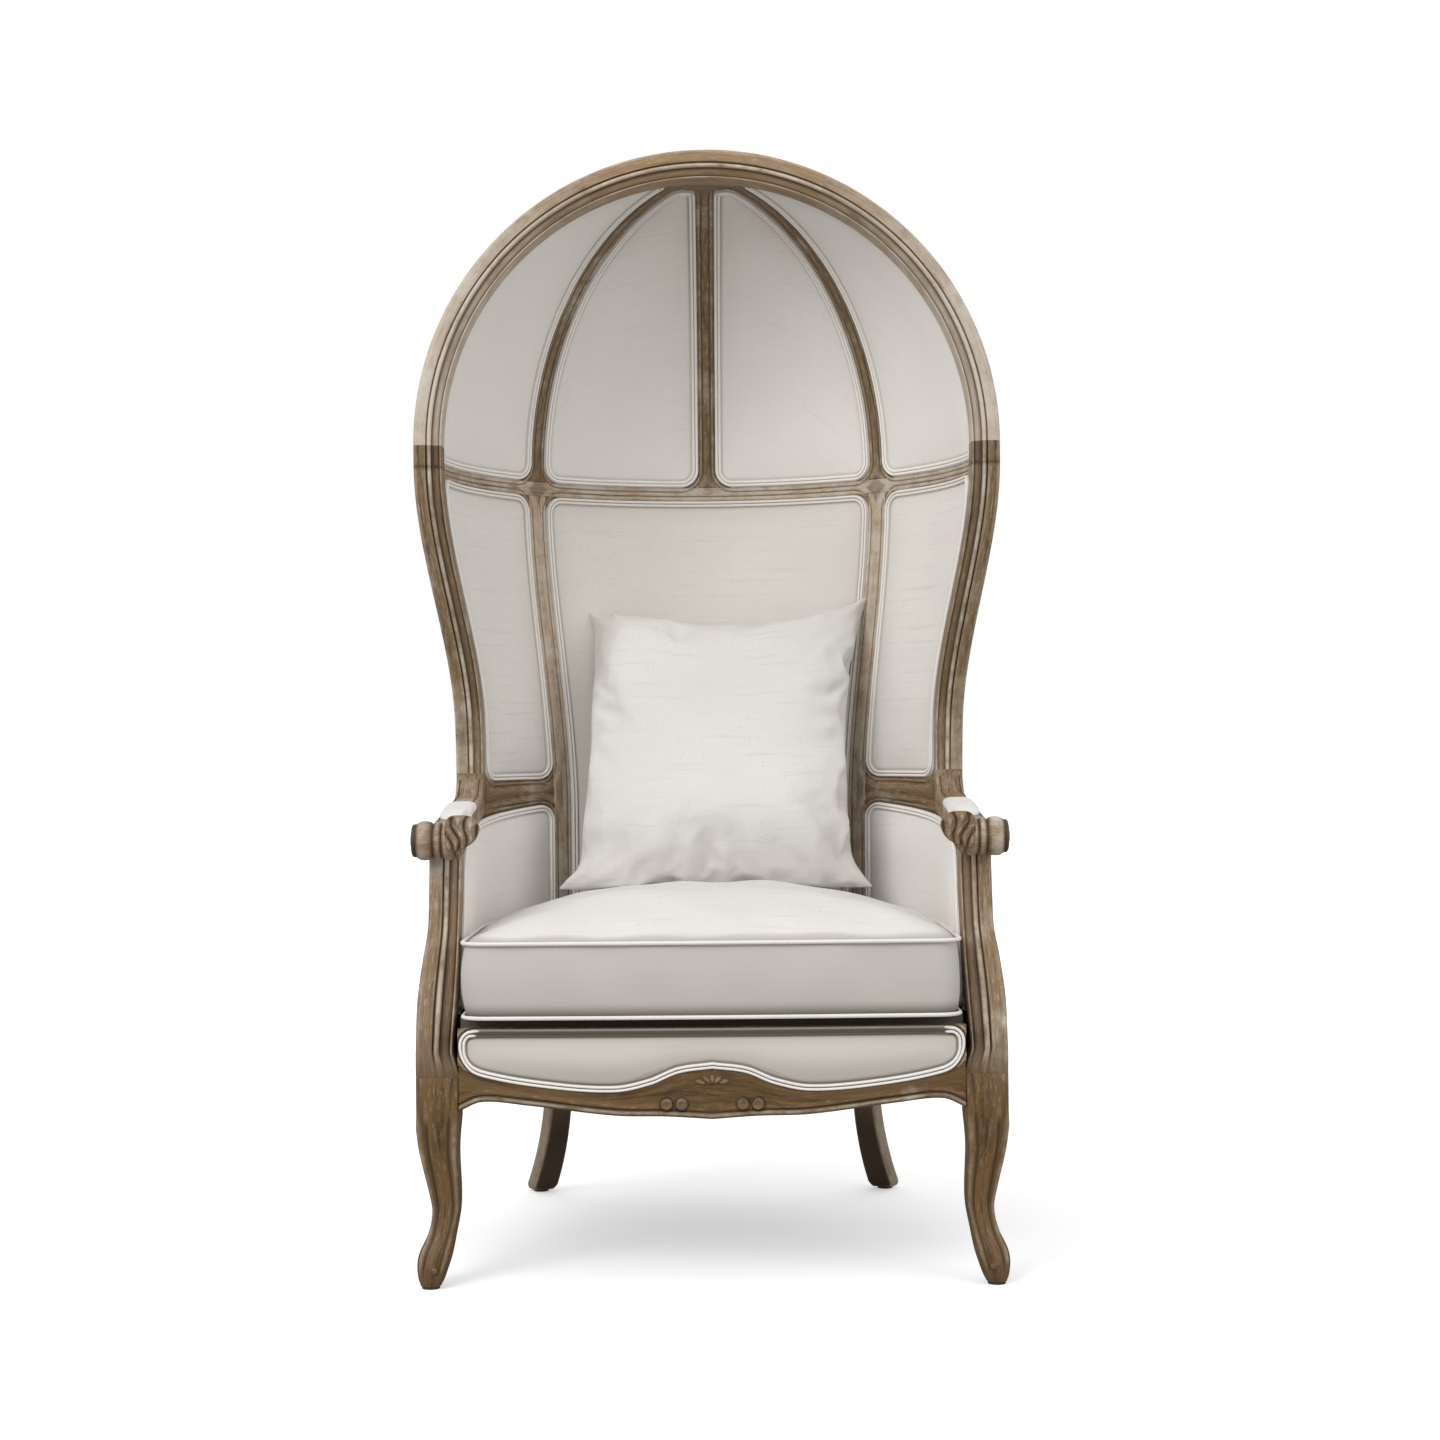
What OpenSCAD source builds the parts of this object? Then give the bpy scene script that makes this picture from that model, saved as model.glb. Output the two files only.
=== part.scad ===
// Domed canopy armchair: a moulded show-wood frame that carries a hood, wings, arms and cabriole
// legs, with fixed upholstery pads between its members, a loose seat cushion and a loose pillow.
// Left and right are as seen from the front. Shapes are laid out with x to the right, depth
// measured back from the front of the seat, and z up from the floor.

/* [Hood] */
// Height of the top of the hood above the floor
overall_height = 1578; // [1550:1:1610]
// Outer radius of the domed hood
hood_radius = 420; // [412:1:430]
// Distance from the front of the seat back to the middle of the arch
hood_setback = 250; // [240:1:260]
// Width of the arch and of the wing stiles, seen from the front
frame_width = 40; // [36:1:44]
// Thickness of the arch from front to back
arch_depth = 46; // [42:1:50]
// Half the angle that the crown piece of the arch spans
crown_angle = 25; // [20:1:30]
// Thickness of ribs, belt rail and back posts, from inside to outside
rib_depth = 32; // [29:1:34]
// Width of a rib
rib_width = 27; // [24:1:30]
// Height of the belt rail under the hood
belt_height = 22; // [19:1:26]
// Distance of the belt rail's middle below the middle of the hood
belt_drop = 30; // [26:1:34]
// Angle of the side ribs and back posts from straight back
post_azimuth = 43; // [41:1:45]
// Distance from the middle of the hood to the end of each rib
crown_reach = 66; // [58:1:74]
// Radius of the carved hollows where ribs and posts meet the belt rail
flare_radius = 26; // [20:1:30]

/* [Frame] */
// Width of a back post
post_width = 34; // [30:1:37]
// Distance of a back post's middle from the centre line, below the waist
post_reach = 241; // [236:1:246]
// Depth of a back post's middle behind the front of the seat, below the waist
post_setback = 564; // [556:1:572]
// Distance that a wing stile draws in between hood and waist
waist_draw = 42; // [36:1:48]
// Height of the narrowest part of the wings
waist_height = 760; // [740:1:780]
// Distance that a wing stile sweeps back between hood and arm
stile_sweep = 140; // [130:1:150]
// Thickness of a wing stile at its foot
stile_depth = 40; // [36:1:44]
// Height where the back posts start to spread towards the belt rail
post_bend_height = 620; // [600:1:640]

/* [Arms] */
// Height of the middle of an arm's scroll
arm_height = 599; // [590:1:610]
// Rise of an arm towards the back, in degrees
arm_rise = 7; // [6:0.5:8]
// Thickness of an arm
arm_thickness = 38; // [34:1:41]
// Radius of the bend where an arm turns up into its stile
arm_bend = 45; // [42:1:50]
// Depth of the scroll's middle behind the front of the seat
scroll_setback = 80; // [74:1:86]
// Radius of an arm's scroll
scroll_radius = 27; // [25:0.5:29]
// Length of an arm's scroll from side to side
scroll_length = 66; // [58:1:70]
// Height of an armrest's pad above the arm
armrest_rise = 20; // [16:1:24]

/* [Seat frame] */
// Height of the joint between a front leg and its arm post
leg_height = 283; // [276:1:290]
// Width of the block at the top of a front leg
block_width = 58; // [54:1:60]
// Distance of a front leg's middle from the centre line
leg_reach = 369; // [366:1:372]
// Depth of a front leg's block behind the front of the seat
block_setback = 24; // [20:1:28]
// Height of the underside of the side and rear rails
rail_underside = 250; // [244:1:254]
// Height of the side and rear rails themselves
rail_height = 50; // [46:1:54]
// Distance that a rear leg rakes backwards, at the floor
heel_rake = 136; // [120:1:146]
// Distance that a rear leg spreads sideways, at the floor
heel_spread = 41; // [34:1:46]
// Height of the shaped apron from its lowest to its highest level
apron_height = 75; // [68:1:80]
// Height of the apron's lowest point
apron_underside = 227; // [222:1:230]
// Distance that the apron bows forward in the middle
apron_bow = 16; // [10:1:18]
// Thickness of the rail behind the apron
board_thickness = 22; // [18:1:26]
// Height of a foot's glide
glide_height = 4; // [3:0.5:6]
// Radius of a foot's glide
glide_radius = 12; // [10:0.5:14]

/* [Upholstery] */
// Thickness of the fixed pads on the inside
pad_thickness = 14; // [12:1:15]
// Thickness of the covering on the outside
cover_thickness = 6; // [4:0.5:7]
// How far a fixed pad swells out in its middle
pad_crown = 5; // [3:0.5:6]
// Rise of the deck that carries the seat cushion above the rails
deck_rise = 59; // [56:1:62]
// Thickness of the seat cushion at its edge
cushion_thickness = 106; // [96:1:114]
// Height that the seat cushion swells above its edge
cushion_crown = 60; // [50:1:66]
// Gap between the seat cushion and the arm posts
cushion_gap = 5; // [4:1:14]
// Size of a piping's half round
welt_radius = 4; // [3:0.5:4.5]
// Side of the square throw pillow
pillow_size = 462; // [440:1:470]
// Thickness of the throw pillow in its middle
pillow_thickness = 150; // [130:1:156]
// Backward lean of the throw pillow, in degrees
pillow_lean = 17; // [15:0.5:18]

/* [Hidden] */
$fn = 64;
// Steps round the large curves of the hood and the apron
dome_steps = 360;

oak = [0.55, 0.46, 0.37];
dark_oak = [0.43, 0.34, 0.26];
linen = [0.80, 0.78, 0.75];
pale_linen = [0.90, 0.89, 0.87];
steel = [0.62, 0.63, 0.65];
black_cloth = [0.18, 0.18, 0.19];

// Levels of the seat, and distances of its members from the centre line
rail_top = rail_underside + rail_height;
deck_height = rail_top + deck_rise;
apron_reach = leg_reach - block_width / 2;
arm_reach = leg_reach - block_width / 15;

// Play between curved faces that lie against each other
fit_gap = hood_radius / 1050;
// Play between the loose pieces and the chair
loose_gap = 2 * fit_gap;
pillow_play = 10 * fit_gap;
// How far the cushion's facets dip under its rounded crown, where the pillow stands on them
facet_dip = 2.6 * fit_gap;

// Levels and radii of the hood, measured from its middle
hood_level = overall_height - hood_radius;
belt_top = belt_height / 2 - belt_drop;
belt_bottom = belt_top - belt_height;
inner_radius = hood_radius - rib_depth;
middle_radius = hood_radius - rib_depth / 2;
arch_back = arch_depth / 2;
reach = 2 * hood_radius;
stile_top_level = hood_level - arch_depth / 2;
sweep_top_level = hood_level + belt_bottom - belt_height / 3;

// Section of the moulded arch, stiles and arm posts: share of the width in from the outer edge,
// and share of the thickness back from the front
mould_shares = [
    [0, 1], [0, 0.14], [0.07, 0.02], [0.5, 0], [0.55, 0.1], [0.63, 0.1], [0.69, 0.01],
    [0.83, 0.01], [0.92, 0.12], [1, 0.28], [1, 1]
];
// Section of the ribs and belt rail: share of the depth out from the inside, share of the width
bar_shares = [[0.1, 0], [0, 0.22], [0, 0.78], [0.1, 1], [0.93, 1], [1, 0.88], [1, 0.12], [0.93, 0]];
// Places along a post's side, from the middle, where its corners start
square_shares = [-0.8, -0.3, 0.3, 0.8];
// Cabriole leg, from the floor up to its block: share of the height, then shift outwards, shift
// forwards and width as shares of the block
cabriole_shares = [
    [0, 0.19, 0.34, 0.53], [0.085, 0.145, 0.3, 0.73], [0.148, 0.08, 0.22, 0.78],
    [0.24, -0.06, 0.09, 0.66], [0.346, -0.155, 0, 0.64], [0.435, -0.14, 0.01, 0.7],
    [0.643, -0.02, 0.05, 0.86], [0.8, 0, 0, 1]
];
// Arm post, from the leg up to the arm: share of the height, share of the sweep back, then shift
// outwards, width and thickness as shares of the leg's block
arm_post_shares = [
    [0, 0, 0, 1, 0.85], [0.065, 0.03, 0.05, 0.93, 0.8], [0.118, 0.09, 0.1, 0.86, 0.8],
    [0.35, 0.34, 0.07, 0.91, 0.8],
    [0.545, 0.56, 0, 0.845, 0.78], [0.69, 0.78, -0.05, 0.75, 0.77],
    [0.835, 0.93, -0.06, 0.75, 0.77], [1, 1, -0.07, 0.75, 0.77]
];
// Apron's upper and lower edges: share of the half width, share of the apron's height
apron_top_shares = [
    [0, 0.88], [0.13, 0.8], [0.24, 0.6], [0.385, 0.47], [0.65, 0.55], [0.91, 0.76], [1, 0.97]
];
apron_low_shares = [[0, 0], [0.18, 0.05], [0.385, 0.07], [0.73, 0.25], [0.91, 0.31], [1, 0.14]];
// Cushion, from its underside to its top: size as a share of its outline, share of the edge height
// or, past it, share of the crown
cushion_edge_shares = [
    [0.93, 0], [0.985, 0.015], [1, 0.05], [1, 0.13], [1.012, 0.3], [1.012, 0.7], [1, 0.87],
    [1, 0.95]
];
cushion_crown_shares = [
    [0.95, 0.24], [0.86, 0.45], [0.71, 0.66], [0.53, 0.83], [0.33, 0.94], [0.12, 1]
];
welt_level_shares = [0.09, 0.91];

// Columns of faces along a side wall, along a wing and along the back
wall_cols = 10;
wing_cols = 8;
back_cols = 12;

function mix(a, b, t) = a + (b - a) * t;
// Equal steps from 0 to 1
function even(n) = [for (i = [0:n]) i / n];
function held(t) = max(0, min(1, t));
function ease(t) = held(t) * held(t) * (3 - 2 * held(t));

// Row of a table whose first column rises through t
function span(table, t, i = 0) =
    i >= len(table) - 2 || t <= table[i + 1][0] ? i : span(table, t, i + 1);
function pitch(table, i, k) =
    let(a = table[max(i - 1, 0)], b = table[min(i + 1, len(table) - 1)])
    (b[k] - a[k]) / (b[0] - a[0]);
// Smooth curve through column k of a table
function curve(table, t, k) =
    let(i = span(table, t), a = table[i], b = table[i + 1], h = b[0] - a[0], u = (t - a[0]) / h,
        rise = b[k] - a[k], p = pitch(table, i, k) * h, q = pitch(table, i + 1, k) * h)
    a[k] + u * p + u * u * (3 * rise - 2 * p - q) + u * u * u * (p + q - 2 * rise);

// Place and outward direction on an arc from a to b that bows out by sag. At its ends the direction
// runs along the faces of the members that it meets.
function bowed(a, b, sag, u, face_a, face_b) =
    let(chord = b - a, half = norm(chord) / 2, way = chord / norm(chord),
        out = [way[1], -way[0]], radius = (half * half + sag * sag) / (2 * sag),
        turn = (2 * u - 1) * asin(half / radius), aim = out * cos(turn) + way * sin(turn))
    concat((a + b) / 2 - out * (radius - sag) + aim * radius,
        mix(aim, u < 0.5 ? face_a : face_b, pow(2 * u - 1, 4)));

// Place and outward direction on a curve from a to b that leaves a towards a + pull_a and reaches b
// from b + pull_b
function bend(a, b, pull_a, pull_b, u) =
    let(v = 1 - u, p = a + pull_a, q = b + pull_b,
        way = (p - a) * v * v + (q - p) * 2 * v * u + (b - q) * u * u)
    concat(a * v * v * v + p * 3 * v * v * u + q * 3 * v * u * u + b * u * u * u,
        [way[1], -way[0]] / norm(way));

// Closed skin of triangles, turned the right way out
module skin(points, faces) {
    spin = [for (f = faces) 1]
        * [for (f = faces) cross(points[f[0]], points[f[1]]) * points[f[2]]];
    polyhedron(points, [for (f = faces) spin > 0 ? [f[0], f[2], f[1]] : f], convexity = 8);
}

function middle(ring) = [for (ring_point = ring) 1 / len(ring)] * ring;

// Solid through a row of rings that have the same number of points
module loft(rings) {
    n = len(rings[0]);
    rows = len(rings);
    points = concat([for (ring = rings) each ring], [middle(rings[0]), middle(rings[rows - 1])]);
    sides = [for (r = [0:rows - 2], i = [0:n - 1])
        let(a = r * n + i, b = r * n + (i + 1) % n) each [[a, b, b + n], [a, b + n, a + n]]];
    first = [for (i = [0:n - 1]) [rows * n, (i + 1) % n, i]];
    last = [for (i = [0:n - 1]) [rows * n + 1, (rows - 1) * n + i, (rows - 1) * n + (i + 1) % n]];
    skin(points, concat(sides, first, last));
}

// Solid between two grids of points with the same rows and columns
module slab(front, back) {
    rows = len(front);
    n = len(front[0]);
    size = rows * n;
    points = concat([for (row = front) each row], [for (row = back) each row]);
    face = [for (r = [0:rows - 2], i = [0:n - 2])
        let(a = r * n + i) each [[a, a + 1, a + n + 1], [a, a + n + 1, a + n]]];
    rim = concat(
        [for (i = [0:n - 1]) i],
        [for (r = [1:rows - 1]) r * n + n - 1],
        [for (i = [n - 2:-1:0]) (rows - 1) * n + i],
        [for (r = [rows - 2:-1:1]) r * n]
    );
    edge = [for (i = [0:len(rim) - 1])
        let(a = rim[i], b = rim[(i + 1) % len(rim)])
        each [[b, a, a + size], [b, a + size, b + size]]];
    skin(points, concat(face, [for (f = face) [f[2] + size, f[1] + size, f[0] + size]], edge));
}

// Ring from a section's shares, lying level: outer edge x, front depth, width, thickness, height
function moulded_ring(outer, front, width, thickness, z) =
    [for (s = mould_shares) [outer - s[0] * width, front + s[1] * thickness, z]];

// Ring of a squared bar, turned by an angle: half sizes, and how much the sides bulge to round
function bar_ring(x, d, half_x, half_d, turn, z) =
    [for (k = [0:3], s = [square_shares[0], square_shares[3]])
        let(side = k * 90, u = s * cos(side) + sin(side), v = s * sin(side) - cos(side),
            a = u * half_x, b = v * half_d)
        [x + a * cos(turn) - b * sin(turn), d + a * sin(turn) + b * cos(turn), z]];

// Wing stile: outer face, middle depth and thickness at a height
function stile_outer(z) =
    hood_radius - waist_draw * ease((stile_top_level - z) / (stile_top_level - waist_height));
function stile_middle(z) =
    hood_setback + stile_sweep * ease((sweep_top_level - z) / (sweep_top_level - stile_foot));
function stile_thickness(z) =
    mix(stile_depth, arch_depth, ease((z - stile_foot) / (sweep_top_level - stile_foot)));
function stile_back(z) = stile_middle(z) + stile_thickness(z) / 2;
function stile_levels() = concat([for (v = even(14)) mix(stile_foot, sweep_top_level, v)],
    [stile_top_level, hood_level]);

// Arm: straight rise from the scroll, then a bend up to the foot of the stile
bend_start = hood_setback + stile_sweep - arm_bend * (1 - sin(arm_rise));
bend_level = arm_height + (bend_start - scroll_setback) * tan(arm_rise);
stile_foot = bend_level + arm_bend * cos(arm_rise) + arm_thickness / 4;
arm_line_share = 0.7;
function arm_level(d) = arm_height + (d - scroll_setback) * tan(arm_rise);
function under_arm(d) = arm_level(d) - arm_thickness / 2 / cos(arm_rise);
// Depth, height and heading of the arm's middle line, from 0 at the scroll to 1 at the stile
function arm_line(t) =
    let(d = mix(scroll_setback, bend_start, t / arm_line_share),
        turn = mix(arm_rise, 90, held((t - arm_line_share) / (1 - arm_line_share))))
    t <= arm_line_share ? [d, arm_level(d), arm_rise]
    : [bend_start + arm_bend * (sin(turn) - sin(arm_rise)),
       bend_level + arm_bend * (cos(arm_rise) - cos(turn)), turn];
// Half thickness of the arm on its lower side: it runs on straight to the square heel of the bend
function arm_low(t) =
    let(at = arm_line(t), drop = at[1] - under_arm(at[0]),
        heel = hood_setback + stile_sweep + stile_depth / 2 - at[0])
    -min(drop / (cos(at[2]) + sin(at[2]) * tan(arm_rise)), heel / max(sin(at[2]), 0.001));
function arm_middle(t) = mix(arm_reach, hood_radius - waist_draw - frame_width / 2, t);
// Ring across the arm's line: shares of half the width and of half the thickness
function arm_ring(t, shares, width, low, high) =
    let(at = arm_line(t))
    [for (s = shares)
        let(lift = mix(low, high, s[1]))
        [arm_middle(t) + s[0] * width / 2, at[0] - lift * sin(at[2]), at[1] + lift * cos(at[2])]];

// Back posts: middle at a height above the rails, with the direction of their faces
post_out = [sin(post_azimuth), cos(post_azimuth)];
post_side = [cos(post_azimuth), -sin(post_azimuth)];
post_low = [post_reach, post_setback];
post_high = [0, hood_setback] + post_out * middle_radius;
belt_level = hood_level + belt_bottom;
function post_middle(z) =
    mix(post_low, post_high, ease((z - post_bend_height) / (belt_level - post_bend_height)));
function heel_middle(z) =
    let(t = held((rail_underside - z) / rail_underside))
    post_low + [heel_spread * pow(t, 2.2), heel_rake * pow(t, 1.5)];
heel_swell_share = 0.12;
function leg_ring(z) =
    let(c = z < rail_underside ? heel_middle(z) : post_middle(z),
        size = 1 + heel_swell_share * held((rail_underside - z) / rail_underside))
    bar_ring(c[0], c[1], size * post_width / 2, size * rib_depth / 2, -post_azimuth, z);

// Arm post: front depth, middle, width and thickness at a height
arm_post_top = arm_height - scroll_radius - arm_thickness / 4;
arm_post_front = block_setback + block_width / 7;
arm_post_sweep = scroll_setback + arm_thickness / 2 - arm_post_front;
function arm_post(z) =
    let(t = (z - leg_height) / (arm_post_top - leg_height))
    [arm_post_front + arm_post_sweep * curve(arm_post_shares, t, 1),
     leg_reach + block_width * curve(arm_post_shares, t, 2),
     block_width * curve(arm_post_shares, t, 3), block_width * curve(arm_post_shares, t, 4)];
function arm_post_back(z) =
    let(p = arm_post(max(leg_height, min(z, arm_post_top))))
    max(p[0] + p[3], block_setback + block_width);

// Middle faces of the upholstered panels, as place and outward direction
// How far the side walls run straight back, and how widely they then turn in to the back posts
arm_run_share = 0.46;
arm_turn = post_width * 5.4;
wing_bow_low = frame_width * 0.3;
wing_bow_high = frame_width * 0.64;
function post_face(z, side) = post_middle(z) + post_side * side * (post_width / 2 + fit_gap);
function arm_face(u, z) =
    let(front = [leg_reach - block_width / 15, arm_post_back(z) + fit_gap], back = post_face(z, 1))
    bend(front, back, [0, (back[1] - front[1]) * arm_run_share], post_side * arm_turn, u);
function wing_face(u, z) =
    let(high = ease((z - waist_height) / (belt_level - waist_height)))
    bowed([stile_outer(z) - frame_width / 2, stile_back(z) + fit_gap], post_face(z, 1),
        mix(wing_bow_low, wing_bow_high, high), u, [1, 0], post_out);
function back_face(u, z) =
    let(right = post_face(z, -1), left = [-right[0], right[1]],
        low = ease((post_bend_height - z) / (post_bend_height - rail_top)),
        high = ease((z - post_bend_height) / (belt_level - post_bend_height)),
        full = hood_setback + middle_radius - right[1])
    bowed(right, left, mix(mix(back_sag, seat_sag, low), full, high), u,
        post_out, [-post_out[0], post_out[1]]);
back_sag = post_width * 1.4;
seat_sag = post_width * 1.1;
arm_wall = function(u, z) arm_face(u, z);
wing_wall = function(u, z) wing_face(u, z);
back_wall = function(u, z) back_face(u, z);
// Half the thickness of the side walls, from their front member to the back post
function wall_half(u, front) = mix(front, rib_depth / 2, u);
arm_half = block_width * 0.375;
wing_half = frame_width / 2;

// Grid of points at an offset from a wall's middle, between two levels, swelling by crown. The
// levels may depend on the depth.
function grid(wall, low, high, offset, crown, cols, steps) =
    [for (v = steps)
        [for (u = even(cols))
            let(depth = wall(u, arm_height)[1], p = wall(u, mix(low(depth), high(depth), v)),
                swell = crown * (1 - pow(2 * u - 1, 4)) * (1 - pow(2 * v - 1, 4)),
                out = offset(u) + swell, d = p[1] + p[3] * out)
            [p[0] + p[2] * out, d, mix(low(d), high(d), v)]]];

// Outline of the seat between the walls: how far it stops short of the middle of the walls
seat_level = mix(rail_top, deck_height, 0.5);
function seat_plan(front, margin) =
    let(side = [for (u = even(wall_cols)) arm_face(u, seat_level)],
        rear = [for (u = [0.06:0.08:0.5]) back_face(u, seat_level)],
        wall = [for (i = [0:len(side) - 1])
            let(p = side[i], out = wall_half(i / (len(side) - 1), arm_half) - margin)
            [p[0] - p[2] * out, p[1] - p[3] * out]],
        back = [for (p = rear)
            [p[0] - p[2] * (rib_depth / 2 - margin), p[1] - p[3] * (rib_depth / 2 - margin)]],
        right = concat([[wall[0][0], front]], wall, back))
    concat(right, [for (i = [len(right) - 1:-1:0]) [-right[i][0], right[i][1]]]);

// Seat cushion's outline: rounded corners joined by edges, the front and the back one bowed. It keeps
// clear of the arm posts, follows the side walls, and ends in front of the back posts.
function wall_inside(p, half) = [p[0] - p[2] * half, p[1] - p[3] * half];
function arm_inside(u) = wall_inside(arm_face(u, seat_level), wall_half(u, arm_half) + pad_crown);
function wing_inside(u, z) = wall_inside(wing_face(u, z), wall_half(u, wing_half) + pad_crown);
cushion_side_shares = [0.25, 0.375, 0.5, 0.625, 0.75, 0.875];
cushion_side = [for (u = cushion_side_shares)
    let(p = arm_face(u, seat_level))
    wall_inside(p, wall_half(u, arm_half) + pad_crown + welt_radius + cushion_gap)];
cushion_reach = min(apron_reach, arm_inside(0)[0], arm_inside(cushion_side_shares[0])[0]) - cushion_gap;
cushion_back = [post_reach, post_setback - post_width];
cushion_round = cushion_reach / 12;
cushion_front_bow = cushion_round / 5;
cushion_back_bow = cushion_round * 1.4;
function rounded(a, p, b, radius, steps) =
    let(from = (a - p) / norm(a - p), to = (b - p) / norm(b - p), half = acos(from * to) / 2,
        run = radius / tan(half), mid = p + (from + to) / norm(from + to) * radius / sin(half),
        s = p + from * run - mid, e = p + to * run - mid, turn = 180 - 2 * half)
    [for (t = even(steps)) mid + (s * sin((1 - t) * turn) + e * sin(t * turn)) / sin(turn)];
// Points between a and b on a low arc that stands out by sag
function bow_points(a, b, sag) =
    let(way = (b - a) / norm(b - a), out = [way[1], -way[0]])
    [for (t = [0.25:0.25:0.75]) mix(a, b, t) + out * sag * 4 * t * (1 - t)];
function cushion_outline() =
    let(front = [cushion_reach, cushion_front_bow + 2 * welt_radius], n = len(cushion_side),
        front_arc = rounded([-front[0], front[1]], front, cushion_side[0], cushion_round, 4),
        back_arc = rounded(cushion_side[n - 1], cushion_back, [-cushion_back[0], cushion_back[1]],
            cushion_round, 4),
        right = concat(front_arc, cushion_side, back_arc), last = len(right) - 1,
        left = [for (i = [last:-1:0]) [-right[i][0], right[i][1]]])
    concat(right, bow_points(right[last], left[0], cushion_back_bow), left,
        bow_points(left[last], right[0], cushion_front_bow));
cushion_plan = cushion_outline();
cushion_middle = [0, cushion_back[1] / 2];
cushion_base = deck_height + loose_gap;
function cushion_ring(size, z) =
    [for (p = cushion_plan) concat(mix(cushion_middle, p, size), z)];
function edge_out(plan, i) =
    let(n = len(plan), way = plan[(i + 1) % n] - plan[(i + n - 1) % n])
    [way[1], -way[0]] / norm(way);
// Half-round piping round the cushion at a share of its height
welt_shares = [[0, -1], [1.1, -0.85], [1.8, 0], [1.1, 0.85], [0, 1]];
function welt_rings(level) =
    let(edge = cushion_plan, z = cushion_base + cushion_thickness * level)
    [for (i = [0:len(edge) - 1])
        let(out = edge_out(edge, i))
        [for (s = welt_shares) concat(edge[i] + out * s[0] * welt_radius,
            z + s[1] * welt_radius)]];

// The seat's front and the rear legs' heels set the middle of the whole chair
seat_front = min([for (ring = welt_rings(0.5), p = ring) p[1]]);
heel_back = max([for (p = leg_ring(glide_height)) p[1]]);
middle_depth = (seat_front + heel_back) / 2;
module placed() translate([0, -middle_depth, 0]) children();
module at_hood() translate([0, hood_setback - middle_depth, hood_level]) children();
module flipped() mirror([1, 0, 0]) children();

// HOOD

module arch(from, to) {
    section = [for (s = mould_shares)
        [hood_radius - s[0] * frame_width, arch_back - s[1] * arch_depth]];
    rotate([90, 0, 0]) rotate_extrude(angle = to - from, start = from) polygon(section);
}
module hood_arch_right() color(oak) at_hood() arch(0, 90 - crown_angle);
module hood_arch_crown() color(dark_oak) at_hood() arch(90 - crown_angle, 90 + crown_angle);
module hood_arch_left() color(oak) at_hood() arch(90 + crown_angle, 180);

// Plan of the block under which the ribs meet, square to each rib
module crown_outline() intersection() {
    translate([-crown_reach, arch_back]) square([2 * crown_reach, crown_reach - arch_back]);
    rotate(-post_azimuth) translate([-reach, -reach]) square([2 * reach, reach + crown_reach]);
    rotate(post_azimuth) translate([-reach, -reach]) square([2 * reach, reach + crown_reach]);
}
module shell(inner, outer) difference() {
    sphere(outer, $fn = dome_steps);
    sphere(inner, $fn = dome_steps);
}
module crown_block() color(dark_oak) at_hood() intersection() {
    shell(inner_radius, hood_radius);
    linear_extrude(reach) crown_outline();
}

module bar_section(base) {
    polygon([for (s = bar_shares) [inner_radius + s[0] * rib_depth, base[0] + s[1] * base[1]]]);
}
module rib(azimuth) rotate(90 - azimuth) intersection() {
    rotate([90, 0, 0]) rotate_extrude(angle = 100, start = -10) bar_section([-rib_width / 2, rib_width]);
    translate([crown_reach, -rib_width, belt_top]) cube([reach, 2 * rib_width, reach]);
}
module rib_centre() color(oak) at_hood() rib(0);
module rib_right() color(oak) at_hood() rib(post_azimuth);
module rib_left() color(oak) at_hood() rib(-post_azimuth);

// Concave corner between the belt rail and an upright, on the upright's right
module flare(start, level, play = 0) {
    sunk = belt_height / 8;
    skin_play = rib_depth / 20 - play;
    intersection() {
        difference() {
            translate([0, 0, level - flare_radius]) cylinder(2 * flare_radius, r = hood_radius - skin_play);
            translate([0, 0, level - reach]) cylinder(2 * reach, r = inner_radius + skin_play);
        }
        translate([0, reach, 0]) rotate([90, 0, 0]) linear_extrude(reach) difference() {
            translate([start - play, level - sunk]) square([flare_radius + play, flare_radius + sunk]);
            translate([start + flare_radius, level + flare_radius]) circle(flare_radius - play);
        }
    }
}
module flare_above(play = 0) flare(rib_width / 2, belt_top, play);
module flare_below(play = 0) mirror([0, 0, 1]) flare(post_width / 2 + 2 * fit_gap, -belt_bottom, play);
module belt(from, to) rotate_extrude(angle = to - from, start = from)
    bar_section([belt_bottom, belt_height]);
module belt_rail_right() color(oak) at_hood() union() {
    intersection() {
        belt(0, 90 - post_azimuth);
        translate([0, arch_back, -reach]) cube([reach, reach, 2 * reach]);
    }
    rotate(-post_azimuth) {
        flare_above();
        flare_below();
    }
}
module belt_rail_left() flipped() belt_rail_right();
module belt_rail_back() color(oak) at_hood() union() {
    belt(90 - post_azimuth, 90 + post_azimuth);
    for (side = [0, 1]) mirror([side, 0, 0]) {
        flare_above();
        rotate(-post_azimuth) mirror([1, 0, 0]) {
            flare_above();
            flare_below();
        }
    }
}

// FRAME

module wing_stile_right() color(oak) placed() {
    loft([for (z = stile_levels())
        let(thickness = stile_thickness(z))
        moulded_ring(stile_outer(z), stile_middle(z) - thickness / 2, frame_width, thickness, z)]);
}
module wing_stile_left() flipped() wing_stile_right();

module back_post_right() color(oak) placed() {
    leg_levels = [for (v = even(8)) mix(glide_height, rail_underside, v)];
    post_levels = [for (v = even(12)) mix(post_bend_height, belt_level, v)];
    loft([for (z = concat(leg_levels, post_levels)) leg_ring(z)]);
}
module back_post_left() flipped() back_post_right();

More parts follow.
